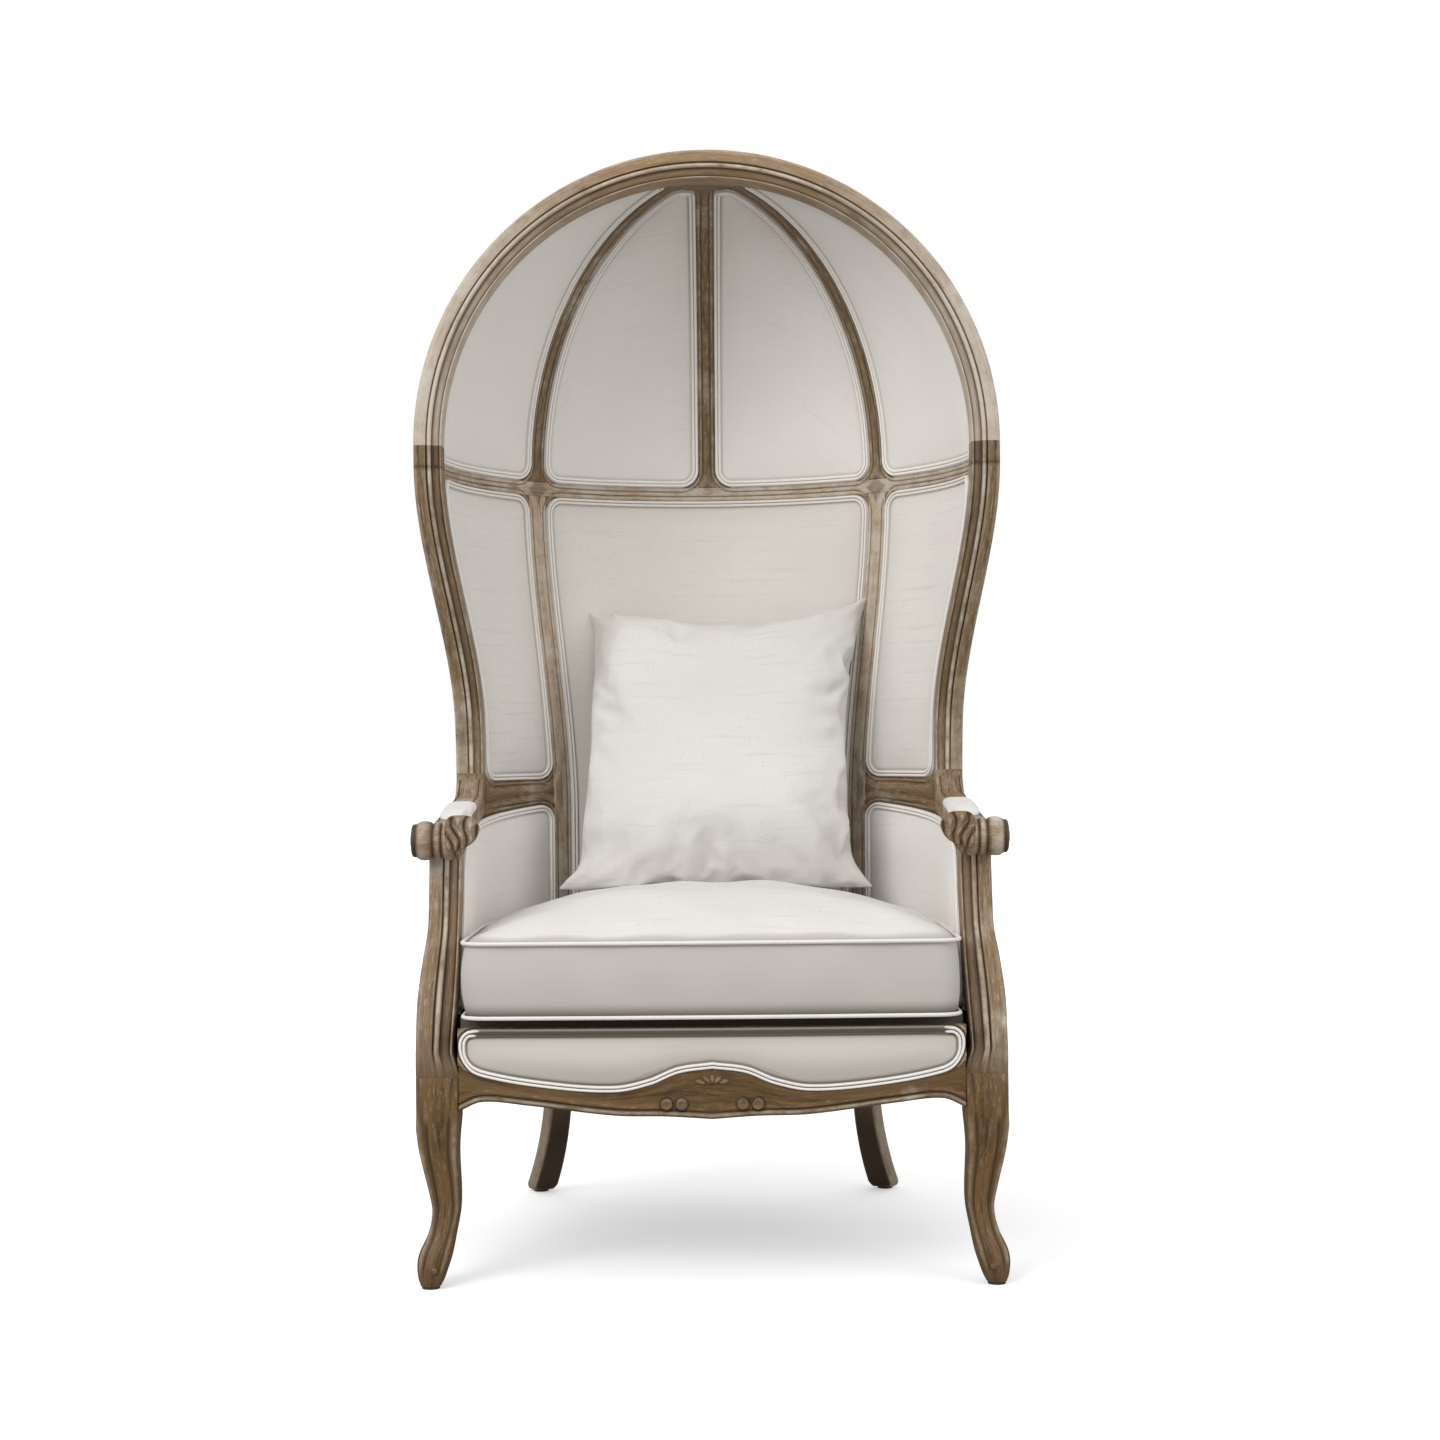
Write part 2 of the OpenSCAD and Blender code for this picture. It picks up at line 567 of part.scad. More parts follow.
arm_shares = [[-1, 0.25], [-0.8, 0], [0.8, 0], [1, 0.25], [1, 0.75], [0.75, 1], [-0.75, 1], [-1, 0.75]];
module arm_right() color(oak) placed() union() {
    rings = [for (t = concat(0, [for (v = even(8)) mix(arm_line_share, 1, v)]))
        arm_ring(t, arm_shares, frame_width, arm_low(t), arm_thickness / 2)];
    foot = [for (p = rings[len(rings) - 1]) [p[0], p[1], stile_foot]];
    loft(concat(rings, [foot]));
    top = arm_post(arm_post_top);
    translate([top[1] - top[2] / 2, top[0], arm_post_top])
        cube([top[2], top[3], arm_thickness]);
    scroll();
}
module scroll() {
    reeds = 5;
    bead = scroll_length / reeds / 2;
    translate([leg_reach - block_width / 2, scroll_setback, arm_height]) rotate([0, 90, 0])
        rotate_extrude() union() {
            square([scroll_radius - bead / 2, scroll_length]);
            for (i = [0:reeds - 1]) intersection() {
                translate([scroll_radius - bead, (2 * i + 1) * bead]) circle(bead);
                square([scroll_radius, scroll_length]);
            }
        }
}
module arm_left() flipped() arm_right();

module arm_post_right() color(oak) placed() {
    steps = 12;
    loft([for (v = even(steps))
        let(z = mix(leg_height, arm_post_top, v), p = arm_post(z))
        moulded_ring(p[1] + p[2] / 2, p[0], p[2], p[3], z)]);
}
module arm_post_left() flipped() arm_post_right();

// Cabriole leg's ring: square at the block, rounder below, with a raised edge down its outer front
// corner. Shares: where the block starts, how far the corners stand out, and the raised edge.
block_share = cabriole_shares[len(cabriole_shares) - 1][0];
corner_share = 0.93;
arris_share = 1.12;
function cabriole_ring(t, z) =
    let(low = t < block_share, s = min(t, block_share),
        width = low ? curve(cabriole_shares, s, 3) : 1,
        x = leg_reach + (low ? block_width * curve(cabriole_shares, s, 1) : 0),
        d = block_setback + block_width / 2 - (low ? block_width * curve(cabriole_shares, s, 2) : 0),
        square_part = low ? ease(s / block_share) : 1, half = width * block_width / 2)
    [for (k = [0:3], i = [0:4])
        let(side = k * 90, along = i < 4 ? square_shares[i] : corner_share,
            out = i < 4 ? 1 : corner_share,
            u = along * cos(side) + out * sin(side), v = along * sin(side) - out * cos(side),
            raised = low && k == 0 && i == 4 ? arris_share : 1,
            size = mix(1 / norm([u, v]), 1, square_part) * raised * half)
        [x + u * size, d + v * size, z]];
// A small ball is carved on the front of the toe. Shares: its height along the leg, its radius and
// its distance from the toe's middle, of the block's width.
ball_shares = [0.082, 0.1, 0.07];
module front_leg_right() color(oak) placed() {
    steps = 15;
    stations = concat([for (v = even(steps)) v * block_share], [1]);
    loft([for (t = stations) cabriole_ring(t, mix(glide_height, leg_height, t))]);
    toe = cabriole_ring(ball_shares[0], mix(glide_height, leg_height, ball_shares[0]));
    front = min([for (p = toe) p[1]]);
    translate([middle(toe)[0] - block_width * ball_shares[2], front + block_width * ball_shares[1] / 2,
        middle(toe)[2]]) sphere(block_width * ball_shares[1]);
}
module front_leg_left() flipped() front_leg_right();

apron_steps = 26;
board_front = block_setback + block_width / 4;
border_bow_share = 0.6;
function apron_edge(x, shares) =
    apron_underside + apron_height * curve(shares, held(abs(x) / apron_reach), 1);
function apron_top(x) = apron_edge(x, apron_top_shares);
function apron_low(x) = apron_edge(x, apron_low_shares);
module front_rail() color(oak) placed() {
    xs = [for (u = even(apron_steps)) apron_reach * (2 * u - 1)];
    edge = concat([for (x = xs) [x, apron_top(x)]],
        [for (i = [len(xs) - 1:-1:0]) [xs[i], apron_low(xs[i])]]);
    bow_radius = (apron_reach * apron_reach + apron_bow * apron_bow) / (2 * apron_bow);
    intersection() {
        translate([0, board_front, 0]) rotate([90, 0, 0]) linear_extrude(board_front) polygon(edge);
        translate([0, block_setback - apron_bow + bow_radius, 0])
            cylinder(leg_height + apron_height, r = bow_radius, $fn = 2 * dome_steps);
    }
    translate([-apron_reach, board_front, rail_underside])
        cube([2 * apron_reach, board_thickness, rail_top - rail_underside]);
    for (share = apron_scroll_shares) apron_scroll(share * apron_reach);
}
// Two pairs of small carved scrolls stand proud of the apron, each a disc with a button. Their
// places are shares of the apron's reach; the other shares are of its height: radius, height of
// the middle, and how far disc and button stand out.
apron_scroll_shares = [-0.18, -0.12, 0.12, 0.18];
apron_disc_shares = [0.115, 0.27, 0.03, 0.055];
module apron_scroll(x) {
    front = block_setback - apron_bow * (1 - pow(x / apron_reach, 2));
    radius = apron_height * apron_disc_shares[0];
    proud = [for (k = [2, 3]) front - apron_height * apron_disc_shares[k]];
    translate([x, board_front, apron_underside + apron_height * apron_disc_shares[1]]) rotate([90, 0, 0]) {
        cylinder(board_front - proud[0], r = radius);
        cylinder(board_front - proud[1], r = radius / 2);
    }
}

// Plan of a straight-sided rail that follows a wall, set in from both of its faces
function wall_plan(wall, half_front, inset, z, steps) =
    [for (side = [-1, 1], i = [0:steps])
        let(u = side < 0 ? i / steps : 1 - i / steps, p = wall(u, z),
            out = side * (wall_half(u, half_front) - inset))
        [p[0] + p[2] * out, p[1] + p[3] * out]];
rail_inset = cover_thickness / 3;
module side_rail_right() color(oak) placed() translate([0, 0, rail_underside])
    linear_extrude(rail_top - rail_underside)
        polygon(wall_plan(arm_wall, arm_half, rail_inset, rail_underside, wall_cols));
module side_rail_left() flipped() side_rail_right();
module rear_rail() color(oak) placed() translate([0, 0, rail_underside])
    linear_extrude(rail_top - rail_underside)
        polygon(wall_plan(back_wall, rib_depth / 2, rail_inset, rail_top, back_cols));

// Rail between a wing and the panel under it
wing_rail_top = stile_foot - arm_thickness / 3;
module wing_rail_right() color(oak) placed() {
    low = function(d) under_arm(d);
    high = function(d) wing_rail_top;
    near = function(u) rail_inset - wall_half(u, wing_half);
    far = function(u) wall_half(u, wing_half) - rail_inset;
    slab(grid(wing_foot, low, high, near, 0, wing_cols, even(1)),
        grid(wing_foot, low, high, far, 0, wing_cols, even(1)));
}
wing_foot = function(u, z) wing_face(u, stile_foot);
module wing_rail_left() flipped() wing_rail_right();

// UPHOLSTERY

// Plan of the gap between two members of the hood: beside the arch, or beside the middle rib
module side_bay() intersection() {
    translate([0, arch_back]) square(reach);
    rotate(-post_azimuth) translate([rib_width / 2, 0]) square(reach);
}
module back_bay() intersection() {
    translate([rib_width / 2, 0]) square(reach);
    rotate(-post_azimuth) translate([-reach - rib_width / 2, 0]) square(reach);
}
module dome_panel(inner, outer) difference() {
    intersection() {
        shell(inner, outer);
        translate([0, 0, belt_top]) linear_extrude(reach) children();
    }
    linear_extrude(reach) crown_outline();
    flare_above(fit_gap);
    rotate(-post_azimuth) {
        flare_above(fit_gap);
        mirror([1, 0, 0]) flare_above(fit_gap);
    }
}
pad_face = inner_radius - rib_depth / 16;
cover_face = hood_radius - rib_depth / 16;
module dome_pad() color(linen) at_hood() dome_panel(pad_face, pad_face + pad_thickness) children();
module dome_cover() color(linen) at_hood() dome_panel(cover_face - cover_thickness, cover_face) children();
module dome_pad_side_right() dome_pad() side_bay();
module dome_pad_side_left() flipped() dome_pad() side_bay();
module dome_pad_back_right() dome_pad() back_bay();
module dome_pad_back_left() flipped() dome_pad() back_bay();
module dome_cover_side_right() dome_cover() side_bay();
module dome_cover_side_left() flipped() dome_cover() side_bay();
module dome_cover_back_right() dome_cover() back_bay();
module dome_cover_back_left() flipped() dome_cover() back_bay();

wing_low = function(d) wing_rail_top;
wing_high = function(d) belt_level;
wing_near = function(u) -wall_half(u, wing_half);
// Rows of the wing's panels, at the levels of the stile in front of them
wing_steps = concat(0, [for (z = stile_levels())
    if (z < belt_level - belt_height / 3) (z - wing_rail_top) / (belt_level - wing_rail_top)], 1);
module wing_layer(near, far, crown) difference() {
    placed() slab(
        grid(wing_wall, wing_low, wing_high, near, crown, wing_cols, wing_steps),
        grid(wing_wall, wing_low, wing_high, far, 0, wing_cols, wing_steps)
    );
    at_hood() rotate(-post_azimuth) flare_below(fit_gap);
}
module wing_pad_right() color(linen)
    wing_layer(wing_near, function(u) wing_near(u) + pad_thickness, -pad_crown);
module wing_pad_left() flipped() wing_pad_right();
module wing_cover_right() color(linen)
    wing_layer(function(u) -cover_thickness - wing_near(u), function(u) -wing_near(u), 0);
module wing_cover_left() flipped() wing_cover_right();

back_low = function(d) deck_height + fit_gap;
back_high = function(d) belt_level;
on_rail = function(d) rail_top;
module back_layer(low, near, far, crown) difference() {
    placed() slab(
        grid(back_wall, low, back_high, function(u) near, crown, back_cols, even(12)),
        grid(back_wall, low, back_high, function(u) far, 0, back_cols, even(12))
    );
    at_hood() for (side = [0, 1]) mirror([side, 0, 0])
        rotate(-post_azimuth) mirror([1, 0, 0]) flare_below(fit_gap);
}
module back_pad() color(linen)
    back_layer(back_low, -rib_depth / 2, pad_thickness - rib_depth / 2, -pad_crown);
module back_cover() color(linen)
    back_layer(on_rail, rib_depth / 2 - cover_thickness, rib_depth / 2, 0);

arm_high = function(d) under_arm(d) - fit_gap;
arm_near = function(u) -wall_half(u, arm_half);
module arm_layer(near, far, crown) placed() slab(
    grid(arm_wall, on_rail, arm_high, near, crown, wall_cols, even(10)),
    grid(arm_wall, on_rail, arm_high, far, 0, wall_cols, even(10))
);
module arm_panel_right() color(linen)
    arm_layer(arm_near, function(u) arm_near(u) + pad_thickness, -pad_crown);
module arm_panel_left() flipped() arm_panel_right();
module arm_cover_right() color(linen)
    arm_layer(function(u) -cover_thickness - arm_near(u), function(u) -arm_near(u), 0);
module arm_cover_left() flipped() arm_cover_right();

// Armrest's pad: a low dome along the straight part of the arm, tapered at both ends
armrest_shares = [
    [-1, 0], [-1, 0.35], [-0.7, 0.8], [-0.25, 1], [0.25, 1], [0.7, 0.8], [1, 0.35], [1, 0]
];
// Shares: where the pad starts and ends along the arm, its width, and its size left at both ends
armrest_run_shares = [0.24, 0.66];
armrest_width_share = 0.85;
armrest_end_shares = [0.6, 0.3];
module armrest_pad_right() color(pale_linen) placed() {
    steps = 8;
    loft([for (v = even(steps))
        let(t = mix(armrest_run_shares[0], armrest_run_shares[1], v),
            full = 1 - pow(2 * v - 1, 6),
            width = frame_width * armrest_width_share * mix(armrest_end_shares[0], 1, full))
        arm_ring(t, armrest_shares, width, arm_thickness / 2,
            arm_thickness / 2 + armrest_rise * mix(armrest_end_shares[1], 1, full))]);
}
module armrest_pad_left() flipped() armrest_pad_right();

// Border under the cushion, between its top and the shaped edge of the apron
module border_pad() color(linen) placed() {
    front = [for (v = even(4)) [for (u = even(apron_steps))
        let(x = apron_reach * (2 * u - 1), z = mix(apron_top(x), deck_height, v),
            bow = apron_bow * (1 - pow(2 * u - 1, 2)) * border_bow_share)
        [x, block_setback - bow - pad_crown * (1 - pow(2 * v - 1, 4)), z]]];
    back = [for (row = front) [for (p = row) [p[0], board_front, p[2]]]];
    slab(front, back);
}
module seat_deck() color(linen) placed() translate([0, 0, rail_top])
    linear_extrude(deck_height - rail_top) polygon(seat_plan(board_front, -pad_crown - fit_gap));

module seat_cushion() color(pale_linen) placed() {
    side = [for (s = cushion_edge_shares) cushion_ring(s[0], cushion_base + s[1] * cushion_thickness)];
    crown = [for (s = cushion_crown_shares)
        cushion_ring(s[0], cushion_base + cushion_thickness + s[1] * cushion_crown)];
    loft(concat(side, crown));
}
module cushion_welts() color(linen) placed() for (level = welt_level_shares) {
    rings = welt_rings(level);
    n = len(rings);
    w = len(welt_shares);
    skin([for (ring = rings) each ring], [for (i = [0:n - 1], j = [0:w - 1])
        let(a = i * w + j, b = i * w + (j + 1) % w, c = ((i + 1) % n) * w + j,
            d = ((i + 1) % n) * w + (j + 1) % w) each [[a, b, d], [a, d, c]]]);
}

// Shares of the pillow's size: how far it lies right of the middle, how far it leans to the right,
// and how far its sides draw in between the corners
pillow_aside_share = 0.02;
pillow_slant_share = 0.04;
pinch_share = 0.07;
// Height of the cushion's top at a place on it, from the share of the outline that the place is at
function crown_level(x, d) =
    let(half = cushion_middle[1] + cushion_back_bow * (1 - pow(x / cushion_back[0], 2)),
        wide = cushion_side[3][0], share = max(abs(x) / wide, abs(d - cushion_middle[1]) / half))
    cushion_base + cushion_thickness + cushion_crown * lookup(share, cushion_crown_shares);
// Front corner of a back post at a height
function post_front(z) =
    post_middle(z)[1] - (rib_depth * post_out[1] - post_width * post_side[1]) / 2;
// The pillow's lower edge stands on the cushion, and its sides lean back towards the posts
pillow_rise = [for (b = even(8)) b * pillow_size * cos(pillow_lean)];
pillow_edge = pillow_size * (1 / 2 + pillow_aside_share + pillow_slant_share);
pillow_depth = min([for (rise = pillow_rise)
        let(z = cushion_base + cushion_thickness + rise,
            wing = z < wing_rail_top ? [] : [for (u = even(8)) wing_inside(u, z)])
        min(concat(post_front(z), [for (p = wing) if (p[0] < pillow_edge) p[1]]))
            - rise * tan(pillow_lean)]) - pillow_play;
pillow_level = max([for (a = even(10)) crown_level(a * pillow_size / 2, pillow_depth)
        - pillow_size / 2 * pinch_share * (1 - a * a)]);
pillow_foot = [pillow_aside_share * pillow_size, pillow_depth, pillow_level - facet_dip];
// Throw pillow: a square drawn in between its corners, thick in the middle, leaning back
module throw_pillow() color(pale_linen) placed() {
    cells = 10;
    half = pillow_size / 2;
    sides = [for (side = [-1, 1]) [for (r = [0:cells]) [for (c = [0:cells])
        let(a = 2 * c / cells - 1, b = 2 * r / cells - 1,
            full = pow((1 - pow(a, 2)) * (1 - pow(b, 2)), 0.5),
            up = half * (1 + b * (1 - pinch_share * (1 - a * a))),
            x = half * a * (1 - pinch_share * (1 - b * b)) + pillow_slant_share * up,
            out = side * (welt_radius / 2 + (pillow_thickness / 2 - welt_radius / 2) * full))
        pillow_foot + [x, up * sin(pillow_lean) + out * cos(pillow_lean),
            up * cos(pillow_lean) - out * sin(pillow_lean)]]]];
    slab(sides[0], sides[1]);
}

// INSIDE AND UNDER THE SEAT

wire = board_thickness / 6;
spring_shares = [-0.42, -0.14, 0.14, 0.42];
board_back = board_front + board_thickness;
clip_size = [board_thickness, board_thickness / 3, board_thickness / 2];
// Inside face of the rear rail at a distance from the centre line
function rear_face(x) =
    let(p = post_face(rail_top, -1), u = (1 - x / p[0]) / 2, q = back_face(u, rail_top))
    q[1] - q[3] * (rib_depth / 2 - rail_inset);
function clip_face(x) = min(rear_face(x - clip_size[0] / 2), rear_face(x + clip_size[0] / 2)) - loose_gap;
module seat_springs() color(steel) placed() for (share = spring_shares) {
    x = share * apron_reach;
    start = board_back + clip_size[1] + fit_gap;
    length = clip_face(x) - clip_size[1] - fit_gap - start;
    bends = 13;
    points = 4 * bends;
    swing = apron_reach / 16;
    path = [for (t = even(points))
        [x + swing * sin(180 * bends * t) * held(8 * t) * held(8 * (1 - t)), start + length * t]];
    side = [for (i = [0:points])
        let(a = path[max(i - 1, 0)], b = path[min(i + 1, points)], way = (b - a) / norm(b - a))
        [way[1], -way[0]] * wire / 2];
    outline = concat(path + side, [for (i = [points:-1:0]) path[i] - side[i]]);
    translate([0, 0, rail_top - wire]) linear_extrude(wire) polygon(outline);
}
module spring_clips() color(steel) placed() for (share = spring_shares, end = [0, 1]) {
    x = share * apron_reach;
    d = end == 0 ? board_back : clip_face(x) - clip_size[1];
    translate([x - clip_size[0] / 2, d, rail_top - clip_size[2]]) cube(clip_size);
}

// Block glued and screwed into each front corner, seen from above: a triangle with its tips cut
brace = block_width * 1.15;
brace_shares = [[0, 0], [-1, 0], [-1, 0.12], [-0.12, 0.9], [0, 0.9]];
screw_radius = board_thickness / 9;
screw_level = (rail_underside + rail_top) / 2;
screw_spread = (rail_top - rail_underside) / 5;
// Place and heading of a corner block's long face, where the screws go in
brace_edge = [brace_shares[2], brace_shares[3]] * brace;
brace_angle = atan2(brace_edge[1][1] - brace_edge[0][1], brace_edge[1][0] - brace_edge[0][0]);
module at_screws() for (up = [-1, 1])
    translate(concat([apron_reach, board_back] + (brace_edge[0] + brace_edge[1]) / 2,
        screw_level + up * screw_spread))
        rotate([0, 0, brace_angle]) rotate([90, 0, 0]) children();
module corner_blocks() color(dark_oak) placed() for (side = [0, 1]) mirror([side, 0, 0]) difference() {
    translate([apron_reach, board_back, rail_underside + board_thickness / 4])
        linear_extrude(rail_top - rail_underside - board_thickness / 2) polygon(brace_shares * brace);
    at_screws() translate([0, 0, -block_width]) cylinder(2 * block_width, r = screw_radius + fit_gap / 2);
}
module corner_screws() color(steel) placed() for (side = [0, 1]) mirror([side, 0, 0]) at_screws() {
    cylinder(block_width / 2, r = screw_radius);
}

module dust_cover() color(black_cloth) placed() difference() {
    translate([0, 0, rail_underside - cover_thickness / 4]) linear_extrude(cover_thickness / 4)
        polygon(seat_plan(board_front + board_thickness / 2, pad_thickness));
    for (side = [0, 1]) mirror([side, 0, 0]) translate([post_low[0], post_low[1], 0]) rotate(-post_azimuth)
        translate([-post_width / 2 - fit_gap, -rib_depth / 2 - fit_gap, 0])
            cube([post_width + 2 * fit_gap, rib_depth + 2 * fit_gap, leg_height]);
    for (side = [0, 1]) mirror([side, 0, 0]) translate([apron_reach - fit_gap, 0, 0])
        cube([block_width, block_setback + block_width + fit_gap, leg_height]);
}

glide_places = let(toe = middle(cabriole_ring(0, 0)), heel = heel_middle(glide_height))
    [[toe[0], toe[1]], heel];
module foot_glides() color(black_cloth) placed() for (side = [0, 1], p = glide_places)
    mirror([side, 0, 0]) translate([p[0], p[1], 0]) cylinder(glide_height, r = glide_radius);

hood_arch_left();
hood_arch_crown();
hood_arch_right();
crown_block();
rib_left();
rib_centre();
rib_right();
belt_rail_left();
belt_rail_back();
belt_rail_right();
wing_stile_left();
wing_stile_right();
back_post_left();
back_post_right();
wing_rail_left();
wing_rail_right();
arm_left();
arm_right();
arm_post_left();
arm_post_right();
front_leg_left();
front_leg_right();
front_rail();
side_rail_left();
side_rail_right();
rear_rail();
dome_pad_side_left();
dome_pad_back_left();
dome_pad_back_right();
dome_pad_side_right();
dome_cover_side_left();
dome_cover_back_left();
dome_cover_back_right();
dome_cover_side_right();
wing_pad_left();
wing_pad_right();
wing_cover_left();
wing_cover_right();
back_pad();
back_cover();
arm_panel_left();
arm_panel_right();
arm_cover_left();
arm_cover_right();
armrest_pad_left();
armrest_pad_right();
border_pad();
seat_deck();
seat_cushion();
cushion_welts();
throw_pillow();
seat_springs();
spring_clips();
corner_blocks();
corner_screws();
dust_cover();
foot_glides();
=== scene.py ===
import math

import bpy
import numpy as np
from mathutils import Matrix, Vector


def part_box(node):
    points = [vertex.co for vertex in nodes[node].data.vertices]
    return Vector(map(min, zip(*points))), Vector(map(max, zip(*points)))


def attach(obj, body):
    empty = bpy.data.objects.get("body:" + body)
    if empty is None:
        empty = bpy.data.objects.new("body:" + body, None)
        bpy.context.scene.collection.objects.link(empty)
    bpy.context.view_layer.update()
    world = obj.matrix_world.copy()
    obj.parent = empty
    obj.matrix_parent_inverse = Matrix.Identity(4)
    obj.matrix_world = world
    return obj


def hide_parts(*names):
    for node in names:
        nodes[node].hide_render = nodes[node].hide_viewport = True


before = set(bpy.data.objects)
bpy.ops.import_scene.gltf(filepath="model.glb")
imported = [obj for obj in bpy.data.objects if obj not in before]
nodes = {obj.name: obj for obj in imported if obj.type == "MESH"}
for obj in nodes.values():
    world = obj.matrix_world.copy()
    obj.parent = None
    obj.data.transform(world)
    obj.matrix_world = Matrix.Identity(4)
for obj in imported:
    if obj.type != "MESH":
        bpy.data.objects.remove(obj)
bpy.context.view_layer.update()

# Driving sizes, as the solids have them, in metres and degrees. Depth is measured back from the
# front of the seat; y is depth plus seatShift.
chair = {
    "hoodRadius": 0.420, "hoodSetback": 0.250, "frameWidth": 0.040, "archDepth": 0.046,
    "ribDepth": 0.032, "ribWidth": 0.027, "beltHeight": 0.022,
    "beltDrop": 0.030, "postAzimuth": 43, "crownReach": 0.066,
    "postWidth": 0.034, "postReach": 0.241, "postSetback": 0.564, "waistDraw": 0.042,
    "waistHeight": 0.760, "stileSweep": 0.140, "stileDepth": 0.040, "postBend": 0.620,
    "armHeight": 0.599, "armRise": 7, "armThickness": 0.038, "armBend": 0.045,
    "scrollSetback": 0.080, "scrollRadius": 0.027, "scrollLength": 0.066,
    "legHeight": 0.283, "blockWidth": 0.058, "legReach": 0.369, "blockSetback": 0.024,
    "railUnderside": 0.250, "railTop": 0.300, "heelRake": 0.136, "heelSpread": 0.041,
    "apronHeight": 0.075, "apronUnderside": 0.227, "apronBow": 0.016, "boardThickness": 0.022,
    "glideHeight": 0.004, "deckHeight": 0.359,
    "cushionThickness": 0.106, "cushionCrown": 0.060, "cushionGap": 0.005, "padCrown": 0.005,
    "weltRadius": 0.004, "pillowSize": 0.462, "pillowLean": 17,
}
archLow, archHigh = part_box("hood_arch_crown")
hoodLevel = archHigh.z - chair["hoodRadius"]
hoodY = (archLow.y + archHigh.y) / 2
seatShift = hoodY - chair["hoodSetback"]
fitGap = chair["hoodRadius"] / 1050
ribHalf, postHalf = chair["ribDepth"] / 2, chair["postWidth"] / 2
frameHalf, barHalf = chair["frameWidth"] / 2, chair["armThickness"] / 2
armHalf = chair["blockWidth"] * 0.375  # half thickness of the wall under an arm, at its front
armReach = chair["legReach"] - chair["blockWidth"] / 15


# Curves and walls that the pieces share

def held(t):
    return np.clip(t, 0, 1)


def ease(t):
    t = held(t)
    return t * t * (3 - 2 * t)


def mix(a, b, t):
    return a + (b - a) * t


def curve(table, t, column):
    # Smooth curve through one column of a table: cubic pieces whose slope at a row is that of the
    # chord between its neighbours.
    rows = np.array(table, float)
    keys, values = rows[:, 0], rows[:, column]
    before = np.maximum(np.arange(len(keys)) - 1, 0)
    after = np.minimum(np.arange(len(keys)) + 1, len(keys) - 1)
    slopes = (values[after] - values[before]) / (keys[after] - keys[before])
    i = np.clip(np.searchsorted(keys, t, side="left") - 1, 0, len(keys) - 2)
    step = keys[i + 1] - keys[i]
    u = (t - keys[i]) / step
    p, q, rise = slopes[i] * step, slopes[i + 1] * step, values[i + 1] - values[i]
    return values[i] + u * p + u * u * (3 * rise - 2 * p - q) + u ** 3 * (p + q - 2 * rise)


def hump(value, centre, spread):
    # A bell curve, 1 at its centre: exp(-((value - centre) / spread) squared)
    return np.exp(-((value - centre) / spread) ** 2)


def quarterRound(t):
    # Height of a quarter circle, from 0 where t is 0 to 1 where it is 1
    return np.sqrt(1 - (1 - held(t)) ** 2)


def unit(v):
    return v / np.linalg.norm(v, axis=-1, keepdims=True)


def stack(*parts):
    return np.stack(np.broadcast_arrays(*parts), -1)


beltTop = chair["beltHeight"] / 2 - chair["beltDrop"]
beltBottom = beltTop - chair["beltHeight"]
beltLevel = hoodLevel + beltBottom
innerRadius = chair["hoodRadius"] - chair["ribDepth"]
sweepTop = hoodLevel + beltBottom - chair["beltHeight"] / 3
stileTop = hoodLevel - chair["archDepth"] / 2
azimuth = math.radians(chair["postAzimuth"])
postOut = np.array([math.sin(azimuth), math.cos(azimuth)])
postSide = np.array([math.cos(azimuth), -math.sin(azimuth)])
rise = math.radians(chair["armRise"])
bendStart = chair["hoodSetback"] + chair["stileSweep"] - chair["armBend"] * (1 - math.sin(rise))
bendLevel = chair["armHeight"] + (bendStart - chair["scrollSetback"]) * math.tan(rise)
stileFoot = bendLevel + chair["armBend"] * math.cos(rise) + chair["armThickness"] / 4
wingRailTop = stileFoot - chair["armThickness"] / 3


def stileOuter(z):
    drawn = ease((stileTop - z) / (stileTop - chair["waistHeight"]))
    return chair["hoodRadius"] - chair["waistDraw"] * drawn


def stileMiddle(z):
    return chair["hoodSetback"] + chair["stileSweep"] * ease((sweepTop - z) / (sweepTop - stileFoot))


def stileThickness(z):
    return mix(chair["stileDepth"], chair["archDepth"], ease((z - stileFoot) / (sweepTop - stileFoot)))


def postMiddle(z):
    # Middle of a back post in plan: below, straight; above, it moves out and forward to the hood.
    low = np.array([chair["postReach"], chair["postSetback"]])
    high = np.array([0, chair["hoodSetback"]]) + postOut * (chair["hoodRadius"] - ribHalf)
    t = ease((z - chair["postBend"]) / (beltLevel - chair["postBend"]))
    return low + (high - low) * np.asarray(t)[..., None]


def heelMiddle(z):
    t = held((chair["railUnderside"] - z) / chair["railUnderside"])
    return np.array([chair["postReach"], chair["postSetback"]]) + stack(
        chair["heelSpread"] * t ** 2.2, chair["heelRake"] * t ** 1.5)


def postFace(z, side):
    return postMiddle(z) + postSide * side * (postHalf + fitGap)


def underArm(d):
    middle = chair["armHeight"] + (d - chair["scrollSetback"]) * math.tan(rise)
    return middle - barHalf / math.cos(rise)


armPostShares = [
    [0, 0, 0, 1, 0.85], [0.065, 0.03, 0.05, 0.93, 0.8], [0.118, 0.09, 0.1, 0.86, 0.8],
    [0.35, 0.34, 0.07, 0.91, 0.8], [0.545, 0.56, 0, 0.845, 0.78], [0.69, 0.78, -0.05, 0.75, 0.77],
    [0.835, 0.93, -0.06, 0.75, 0.77], [1, 1, -0.07, 0.75, 0.77],
]
armPostTop = chair["armHeight"] - chair["scrollRadius"] - chair["armThickness"] / 4
armPostFront = chair["blockSetback"] + chair["blockWidth"] / 7
armPostSweep = chair["scrollSetback"] + barHalf - armPostFront


